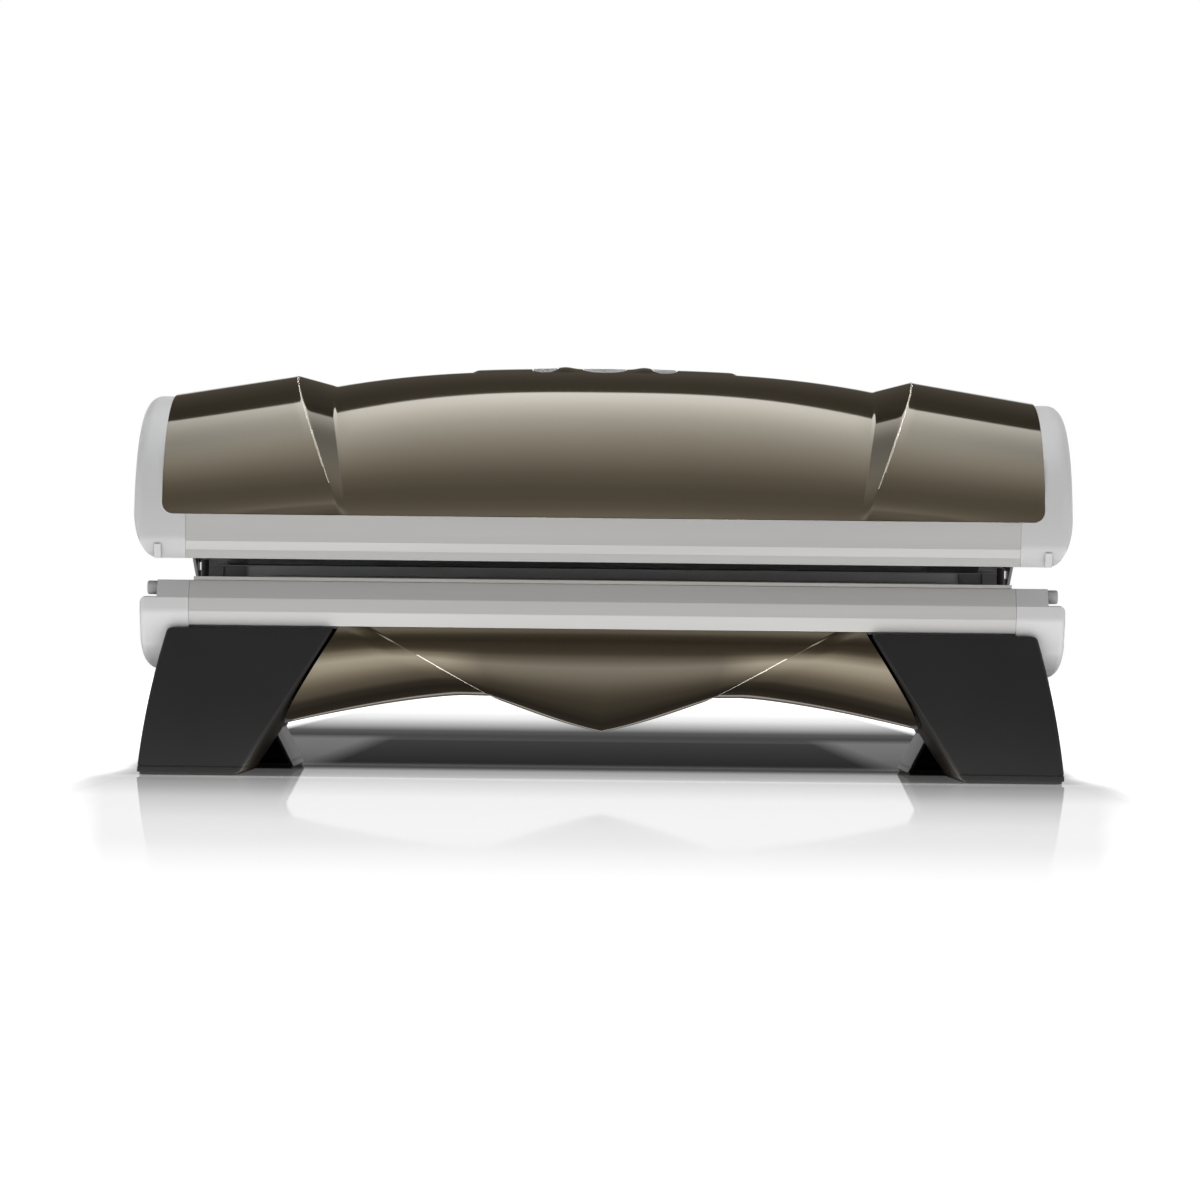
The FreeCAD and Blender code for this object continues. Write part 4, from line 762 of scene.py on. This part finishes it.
def cap_tabs():
    """Raised tab low on the front of each canopy cap."""
    bm = bmesh.new()
    top, bottom = CAP_LOW.z + 0.033, CAP_LOW.z - 0.001
    slope = CANOPY_FACET_RUN / CANOPY_FACET

    def front(z, proud):
        return -HALF_DEPTH + (CAP_LOW.z + CANOPY_FACET - z) * slope - proud

    for side in (-1, 1):
        near, far = side * TAB_NEAR_X, side * TAB_FAR_X
        made = bmesh.ops.create_cube(bm, size=1.0)["verts"]
        for vert in made:
            x = near if vert.co.x < 0 else far
            z = top if vert.co.z > 0 else bottom
            proud = 0.0028 if vert.co.y < 0 else -0.012
            vert.co = (x, front(z, proud), z)
    tabs = soften(make_piece("canopy_cap_tabs_raised", bm, CAP), 0.0012, 2)
    place(tabs, "canopy", "grey_cap", "canopy_cap_tabs")


def belly_row(low_x, top_x, bottom, roundness=ROUNDNESS, bulge=0.0):
    return oval_row(low_x, top_x, BELLY_HALF, BELLY_LEVEL - bottom, BELLY_LEVEL, -1, bulge, roundness)


def on_keel_crease(spot):
    lift = (BELLY_LEVEL - spot.z) / (BELLY_LEVEL - KEEL_CREASE_BOTTOM)
    inside = KEEL_CREASE_TOP_X + (KEEL_CREASE_X - KEEL_CREASE_TOP_X) * lift - abs(spot.x)
    return lift > KEEL_FROM and 0.0 < inside < KEEL_LINE


def belly_shell():
    arch_foot_x = KEEL_CREASE_TOP_X + 0.060

    def arch(x):
        share = (x - ARCH_X) / (BELLY_END_X - ARCH_X)
        return ARCH_TOP - (ARCH_TOP - BELLY_END_BOTTOM) * share ** ARCH_POWER

    def half(s):
        crease = belly_row(s * KEEL_CREASE_TOP_X, s * KEEL_CREASE_X, KEEL_CREASE_BOTTOM, ARCH_ROUNDNESS)
        beside = belly_row(s * (KEEL_CREASE_TOP_X + 0.008), s * (KEEL_CREASE_X + 0.010),
                           KEEL_CREASE_BOTTOM + CREASE_STEP, ARCH_ROUNDNESS, -0.004)
        near = belly_row(s * arch_foot_x, s * ARCH_X, ARCH_TOP, ARCH_ROUNDNESS)
        rows = []
        for share in (k / 20 for k in range(21)):
            x = BELLY_END_X + (ARCH_X - BELLY_END_X) * share
            low_x = BELLY_END_X + (arch_foot_x - BELLY_END_X) * share
            rows.append(belly_row(s * low_x, s * x, arch(x), ARCH_ROUNDNESS))
        rows += [between(near, beside, share) for share in (0.2, 0.4, 0.6, 0.8, 0.93)] + [beside]
        rows += [between(beside, crease, share) for share in (0.35, 0.7)] + [crease]
        for k in (0.012, 0.04, 0.09, *[j / 14 for j in range(2, 14)], 0.975):
            bow = 4 * KEEL_BOW * k * (1 - k)
            row = between(crease, keel, k)
            for point in row:
                point.z -= bow * (BELLY_LEVEL - point.z) / (BELLY_LEVEL - KEEL_BOTTOM)
            rows.append(row)
        return rows

    keel = belly_row(0, 0, KEEL_BOTTOM)
    bm = bmesh.new()
    skin_rows(bm, half(-1) + [keel] + half(1)[::-1], closed=False)
    run = (LEG_INNER_FOOT_X - LEG_INNER_TOP_X) / (LEG_TOP - PAD_HEIGHT)
    for s in (-1, 1):
        spot = Vector((s * (LEG_INNER_TOP_X - BELLY_LEG_GAP), 0, LEG_TOP))
        normal = Vector((s * 1.0, 0, run)).normalized()
        bmesh.ops.bisect_plane(bm, geom=bm.verts[:] + bm.edges[:] + bm.faces[:], plane_co=spot, plane_no=normal,
                               clear_outer=True)
    belly = make_piece("lacquered_belly_shell", bm, BRONZE, sharp=60)
    # a painted highlight line along each keel crease
    paint_crease_highlight(belly, on_keel_crease, KEEL_CREASE_HIGHLIGHT_PAINT)
    thicken(belly, MOULDING)
    place(belly, "base", "bronze_shell", "base_belly_shell")


# ---- legs --------------------------------------------------------------------------------------

def outer_x(z):
    share = (LEG_TOP - z) / (LEG_TOP - PAD_HEIGHT)
    return LEG_OUTER_TOP_X + (LEG_OUTER_FOOT_X - LEG_OUTER_TOP_X) * share + 4 * LEG_BOW * share * (1 - share)


def front_inner_x(z):
    return LEG_INNER_TOP_X + (LEG_INNER_FOOT_X - LEG_INNER_TOP_X) * (LEG_TOP - z) / (LEG_TOP - PAD_HEIGHT)


def rear_inner_x(z):
    knee_x, knee_z = REAR_KNEE
    if z > knee_z:
        return REAR_TOP_X + (knee_x - REAR_TOP_X) * (LEG_TOP - z) / (LEG_TOP - knee_z)
    return knee_x + (REAR_TOE_X - knee_x) * (knee_z - z) / (knee_z - PAD_HEIGHT)


def leg_levels():
    """Heights and insets of a leg's rows: a rounded foot, a lip line above it and a rounded top."""
    foot = ((0.0, 0.004), (0.0012, 0.0012), (0.004, 0.0), (0.0135, 0.0), (0.0142, 0.0012), (0.0156, 0.0012),
            (0.0164, 0.0))
    levels = [(PAD_HEIGHT + rise, inset) for rise, inset in foot]
    first, last = PAD_HEIGHT + 0.024, LEG_TOP - 0.010
    levels += [(first + (last - first) * k / 22, 0.0) for k in range(23)]
    levels += [(LEG_TOP - 0.010 + run, inset) for inset, run in quarter_steps(0.010, 5)[1:]]
    return levels


LEGS = (("front", front_inner_x, LEG_LOW.y, LEG_HIGH.y), ("rear", rear_inner_x, REAR_LOW.y, REAR_HIGH.y))


def leg_row(side, inner, y0, y1, z, inset, level):
    """Row round a leg's section at height z, drawn in by inset and laid at a level."""
    low, high = (inner(z) + inset, y0 + inset), (outer_x(z) - inset, y1 - inset)
    return [Vector((side * x, y, level)) for x, y in rounded_outline(low, high, LEG_CORNER, 5)]


def leg_piece(name, side, inner, y0, y1, node):
    bm = bmesh.new()
    rows = [leg_row(side, inner, y0, y1, z, inset, z) for z, inset in leg_levels()]
    first, last = skin_rows(bm, rows, closed=True)
    bmesh.ops.contextual_create(bm, geom=first)
    bmesh.ops.contextual_create(bm, geom=last)
    leg = make_piece(name, bm, LEG, sharp=42)
    level, gap = RAIL_LOW.z + FACET_HIGH, 0.0003
    section = oval_row(0, 0, HALF_DEPTH + gap, level - BASE_CAP_LOW.z + gap, level, -1, 0.0, BASE_CAP_ROUNDNESS)
    room = flat(section) + [(HALF_DEPTH, PAST_Z), (-HALF_DEPTH, PAST_Z)]
    cut_out(leg, "cap_room", room, "x", *span(side, RAIL_HIGH.x - 0.001, PAST_X))
    levels = [PAD_HEIGHT + LEG_WALL, REAR_KNEE[1], 0.2, LEG_TOP - LEG_WALL]
    hollow = [(side * (inner(z) + LEG_WALL), z) for z in levels]
    hollow += [(side * (outer_x(z) - LEG_WALL), z) for z in reversed(levels)]
    open_toward_middle = (y0 + LEG_WALL, y1 + 0.01) if abs(y1) < abs(y0) else (y0 - 0.01, y1 - LEG_WALL)
    cut_out(leg, "hollow", hollow, "y", *open_toward_middle)
    shade(leg, 42)
    place(leg, "base", "charcoal_leg", node)


def legs():
    for side, word in SIDES:
        for end, inner, y0, y1 in LEGS:
            leg_piece(f"moulded_{end}_leg_{word}", side, inner, y0, y1, f"{end}_leg_{word}")


def foot_strips():
    """Black rubber strip let into the underside of each leg, all round its edge."""
    section = ((0.014, 0.0064), (0.006, 0.0064), (0.006, 0.0008), (0.014, 0.0008), (0.014, 0.0064))
    bm = bmesh.new()
    for side in (-1, 1):
        for _, inner, y0, y1 in LEGS:
            rows = [leg_row(side, inner, y0, y1, PAD_HEIGHT, inset, z) for inset, z in section]
            skin_rows(bm, rows, closed=True)
    place(make_piece("rubber_foot_strips", bm, RUBBER), "base", "foot_rubber")


# ---- back of the gap ---------------------------------------------------------------------------

def edge_seals():
    """Grey seal folded over the bench acrylic's long edges."""
    low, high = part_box("base_acrylic")
    section = ((-0.012, 0.0062), (0.0002, 0.0062), (0.0002, 0.0002), (0.0030, 0.0002), (0.0030, 0.0086),
               (-0.012, 0.0086))
    for turn, word in ((1, "rear"), (-1, "front")):
        outline = [(turn * (high.y + out), RAIL_HIGH.z + up) for out, up in section]
        seal = prism(f"acrylic_edge_seal_{word}", outline, "x", low.x, high.x, SEAL)
        place(soften(seal, 0.0008, 2), "base", "dark_panel")


def gap_back():
    """A brush seal fills the last of the gap behind the bench, over a satin ledge along the rear panel."""
    low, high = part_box("gap_back_panel")
    seal_top = CANOPY_RAIL_LOW.z - 0.0004
    outline = [(low.y + 0.002, high.z - 0.004), (high.y - 0.002, high.z - 0.004),
               (high.y - 0.004, seal_top), (low.y + 0.004, seal_top)]
    place(prism("brush_seal_strip", outline, "x", low.x, high.x, DARK), "base", "dark_panel")
    section = ((-0.010, 0.001), (0.0, 0.001), (0.0, 0.019), (-0.003, 0.022), (-0.010, 0.020))
    outline = [(low.y + out, low.z + up) for out, up in section]
    ledge = prism("satin_gap_ledge", outline, "x", low.x + LEDGE_INSET, high.x - LEDGE_INSET, LEDGE)
    place(soften(ledge, 0.001, 2), "base", "dark_panel")


# ---- studio ------------------------------------------------------------------------------------

# light by direction in degrees, from the front horizon over the zenith (90) to the rear horizon (180)
SKY_LEVELS = ((0, 0.55), (2, 0.45), (4, 0.31), (9, 0.25), (16, 0.25), (29, 0.35), (47, 0.58), (68, 0.86),
              (91, 1.24), (105, 1.56), (117, 1.80), (128.2, 1.84), (129.0, 0.11), (145, 0.08), (171, 0.08),
              (174.5, 1.0), (180, 1.0))

# share of the overhead light that is missing, by how far its direction leans along the bed
SIDE_LOSS = ((0.0, 0.03), (0.12, 0.05), (0.15, 0.07), (0.165, 0.18), (0.18, 0.38), (0.225, 0.62), (0.30, 0.80),
             (0.38, 0.80), (0.45, 0.20), (0.54, 0.0))

# the floor by metres behind the bed's middle: how much it mirrors, the shadow painted on it under and behind the
# bed, and the glow it shows only to reflections, which puts the highlight bands on the lacquer
MIRROR = ((-6.8, 0.0), (-5.0, 0.08), (-3.6, 0.20), (-2.4, 0.44), (-1.5, 0.66), (-0.6, 0.80), (0.6, 0.80),
          (2.0, 0.0))
PAINTED_SHADOW_LEVELS = ((-2.2, 0.0), (-1.05, 0.20), (-0.5, 0.32), (0.05, 0.45), (0.38, 0.90), (4.4, 0.88), (5.2, 0.97),
         (6.2, 0.94), (7.4, 0.74), (9.5, 0.45), (14.0, 0.14), (20.0, 0.0))
REFLECTED_GLOW_LEVELS = ((-14.0, 0.33), (-7.0, 0.15), (-2.5, 0.08), (-1.30, 0.13), (-1.10, 0.17), (-0.87, 0.42), (-0.72, 0.70),
         (-0.60, 0.58), (-0.47, 0.31), (-0.37, 0.15), (-0.17, 0.06), (0.0, 0.03), (0.60, 0.03), (0.80, 0.45),
         (1.3, 0.10), (6.0, 0.08))


def warm(level):
    """Colour of a light level: dark parts of the studio are brown."""
    share = math.sqrt(min(level / 1.2, 1.0))
    return level, level * (0.80 + 0.215 * share), level * (0.52 + 0.53 * share)


def ramp_by_place(tree, place_at, stops, colour=lambda level: (level, level, level)):
    """Value or colour read from stops along a distance; they are joined by straight lines."""
    low, high = stops[0][0], stops[-1][0]
    node = tree.nodes.new("ShaderNodeValToRGB")
    elements = node.color_ramp.elements
    for k, (distance, level) in enumerate(stops):
        spot = elements[k] if k < 2 else elements.new((distance - low) / (high - low))
        spot.position = (distance - low) / (high - low)
        spot.color = (*colour(level), 1)
    share = math_node(tree, "DIVIDE", minus(tree, place_at, low), high - low)
    link(tree, share, node.inputs["Fac"])
    return node.outputs["Color"]


def axes_of(tree, output):
    """X, Y and Z of one of the texture coordinates."""
    coords = tree.nodes.new("ShaderNodeTexCoord")
    parts = tree.nodes.new("ShaderNodeSeparateXYZ")
    link(tree, coords.outputs[output], parts.inputs["Vector"])
    return parts.outputs


def mix_shaders(tree, share, first, second):
    node = tree.nodes.new("ShaderNodeMixShader")
    for value, socket in zip((share, first, second), node.inputs):
        link(tree, value, socket)
    return node.outputs["Shader"]


def off_middle(tree, value, reach):
    """0 at the middle, rising smoothly to 1 past reach on both sides."""
    share = math_node(tree, "DIVIDE", value, reach)
    bell = math_node(tree, "EXPONENT", times(tree, times(tree, share, share), -1.0))
    return minus(tree, 1.0, bell)


def studio_world():
    """White behind the bed; a soft light overhead, brightest in the middle and again well to each side."""
    world = bpy.data.worlds.new("studio")
    bpy.context.scene.world = world
    world.use_nodes = True
    tree = world.node_tree
    tree.nodes.clear()
    along, behind, up = axes_of(tree, "Generated")
    angle = math_node(tree, "DEGREES", math_node(tree, "ARCTAN2", up, times(tree, behind, -1.0)))
    angle = plus(tree, angle, times(tree, off_middle(tree, along, 0.16), 13.0))
    peak = max(level for _, level in SKY_LEVELS)
    colour = ramp_by_place(tree, angle, SKY_LEVELS, lambda level: [part / peak for part in warm(level)])
    loss = ramp_by_place(tree, math_node(tree, "ABSOLUTE", along), SIDE_LOSS)
    spread = minus(tree, 1.0, times(tree, times(tree, up, up), loss))
    lit = tree.nodes.new("ShaderNodeBackground")
    link(tree, colour, lit.inputs["Color"])
    link(tree, times(tree, spread, peak), lit.inputs["Strength"])
    white = new_node(tree, "ShaderNodeBackground", Color=(1, 1, 1, 1))
    rays = tree.nodes.new("ShaderNodeLightPath").outputs
    looks = mix_shaders(tree, rays["Is Camera Ray"], lit.outputs["Background"], white.outputs["Background"])
    link(tree, looks, tree.nodes.new("ShaderNodeOutputWorld").inputs["Surface"])


def studio_floor():
    """White gloss floor: its mirror image fades towards the camera, and far off it is as white as the backdrop. A
    shadow is painted on it under and behind the bed, showing at low views; it also glows, lighting the bed from
    below and, seen only in reflections, giving the lacquer its highlight bands.
    """
    material = bpy.data.materials.new("gloss_white_floor")
    material.use_nodes = True
    tree = material.node_tree
    tree.nodes.clear()
    across, behind, _ = axes_of(tree, "Object")
    length = math_node(tree, "ABSOLUTE", across)

    def by_x(*stops):
        return ramp_by_place(tree, length, stops)

    def by_y(*stops):
        return ramp_by_place(tree, behind, stops)

    rays = tree.nodes.new("ShaderNodeLightPath").outputs
    grazing = new_node(tree, "ShaderNodeFresnel", IOR=1.5).outputs["Fac"]
    low_view = math_node(tree, "MINIMUM", times(tree, times(tree, grazing, grazing), 1.4), 1.0)
    lift = by_y((-7.5, FLOOR_LIFT + 0.14), (-5.8, FLOOR_LIFT + 0.07), (-4.6, FLOOR_LIFT - 0.04),
                (-3.6, FLOOR_LIFT - 0.02), (0.6, FLOOR_LIFT + 0.07), (3.0, 0.62), (9.0, 0.80))
    sideways = math_node(tree, "DIVIDE", length, plus(tree, behind, CAMERA_DISTANCE + HALF_DEPTH))
    beside = times(tree, ramp_by_place(tree, sideways, ((0.0985, 0.0), (0.107, 0.35))), low_view)
    from_above = times(tree, minus(tree, 1.0, low_view), 0.18)
    lift = plus(tree, lift, plus(tree, beside, from_above))
    direct = times(tree, rays["Is Camera Ray"], lift)
    # the floor glows for every ray but the camera's, outside the bed's footprint: painted light on the bed's lower
    # faces
    outside = by_y((-0.80, 0.62), (-0.68, 1.0), (-0.56, 1.0), (-0.50, 0.0), (0.50, 0.0), (0.56, 1.0),
                   (0.68, 1.0), (0.80, 0.62))
    outside = math_node(tree, "MAXIMUM", outside, by_x((1.25, 0.0), (1.40, 0.28)))
    glow_for_other_rays = times(tree, times(tree, minus(tree, 1.0, rays["Is Camera Ray"]), FLOOR_GLOW), outside)
    paint = new_node(tree, "ShaderNodeBsdfDiffuse", Color=(0.90, 0.90, 0.90, 1))
    floor_emission = new_node(tree, "ShaderNodeEmission", Color=(1, 1, 1, 1))
    link(tree, plus(tree, direct, glow_for_other_rays), floor_emission.inputs["Strength"])
    white = tree.nodes.new("ShaderNodeAddShader")
    link(tree, paint.outputs["BSDF"], white.inputs[0])
    link(tree, floor_emission.outputs["Emission"], white.inputs[1])
    mirror = new_node(tree, "ShaderNodeBsdfGlossy", Roughness=0.025)
    share = times(tree, times(tree, grazing, by_y(*MIRROR)), by_x((1.11, 1.0), (1.20, 0.0)))
    sheen = mix_shaders(tree, share, white.outputs["Shader"], mirror.outputs["BSDF"])
    # painted shadow: a dark diffuse mixed into the floor under and behind the bed, strongest at low views
    wide_painted_shadow = times(tree, by_x((1.16, 1.0), (1.24, 0.0)), by_y(*PAINTED_SHADOW_LEVELS))
    core_painted_shadow = times(tree, by_x((0.70, 0.10), (0.80, 0.0)), by_y((0.4, 0.0), (1.0, 1.0), (4.2, 1.0), (5.2, 0.0)))
    dark = new_node(tree, "ShaderNodeBsdfDiffuse", Color=(0.03, 0.03, 0.03, 1))
    with_painted_shadow = mix_shaders(tree, times(tree, plus(tree, wide_painted_shadow, core_painted_shadow), low_view), sheen, dark.outputs["BSDF"])
    # a glow on the floor that only reflections see, boosted just in front of the bed: it puts the lacquer's
    # highlight bands there
    glow_in_reflections = tree.nodes.new("ShaderNodeEmission")
    link(tree, ramp_by_place(tree, behind, REFLECTED_GLOW_LEVELS, warm), glow_in_reflections.inputs["Color"])
    near = times(tree, by_x((0.30, 0.0), (0.40, 0.85)), by_y((-1.4, 0.0), (-1.0, 1.0), (-0.3, 1.0), (-0.2, 0.0)))
    far = by_x((1.9, 0.0), (2.8, 0.28))
    link(tree, minus(tree, plus(tree, 1.0, near), far), glow_in_reflections.inputs["Strength"])
    looks = mix_shaders(tree, rays["Is Glossy Ray"], with_painted_shadow, glow_in_reflections.outputs["Emission"])
    link(tree, looks, tree.nodes.new("ShaderNodeOutputMaterial").inputs["Surface"])
    bm = bmesh.new()
    bmesh.ops.create_grid(bm, x_segments=1, y_segments=1, size=FLOOR_SIZE)
    make_piece("floor", bm, material)


def area_light(name, spot, aim, size, power, spread=math.pi):
    data = bpy.data.lights.new(name, "AREA")
    data.shape = "RECTANGLE"
    data.size, data.size_y = size
    data.energy = power
    data.spread = spread
    lamp = bpy.data.objects.new(name, data)
    lamp.location = spot
    lamp.rotation_euler = (Vector(aim) - Vector(spot)).to_track_quat("-Z", "Y").to_euler()
    lamp.visible_glossy = False
    bpy.context.collection.objects.link(lamp)


def studio_lamps():
    """A broad low lamp in front fills the upright faces, and a narrow beam from above the top of the bed."""
    low = 0.49
    area_light("front_fill", (0, -14.0, low), (0, 0, low), (4.0, 1.0), 152)
    area_light("top_beam", (0, 0, 3.0), (0, 0, 0), (2.24, 1.12), 22, math.radians(16))


def camera():
    data = bpy.data.cameras.new("camera")
    eye = bpy.data.objects.new("camera", data)
    bpy.context.collection.objects.link(eye)
    spot = Vector((0, -HALF_DEPTH - CAMERA_DISTANCE, CAMERA_HEIGHT))
    aim = Vector((AIM_X, -HALF_DEPTH, AIM_HEIGHT))
    eye.location = spot
    turn = (aim - spot).to_track_quat("-Z", "Y").to_euler()
    turn.rotate_axis("Z", ROLL)
    eye.rotation_euler = turn
    data.sensor_width = SENSOR
    data.lens = SENSOR * CAMERA_DISTANCE / VIEW_WIDTH
    data.clip_end = 100.0
    bpy.context.scene.camera = eye


bpy.context.scene.view_settings.view_transform = "Standard"
dress_frame()
canopy_shell()
vent_cowl()
vent_liners()
canopy_end_caps()
rails()
base_end_caps()
cap_bosses()
cap_tabs()
belly_shell()
legs()
foot_strips()
edge_seals()
gap_back()
studio_world()
studio_floor()
studio_lamps()
camera()
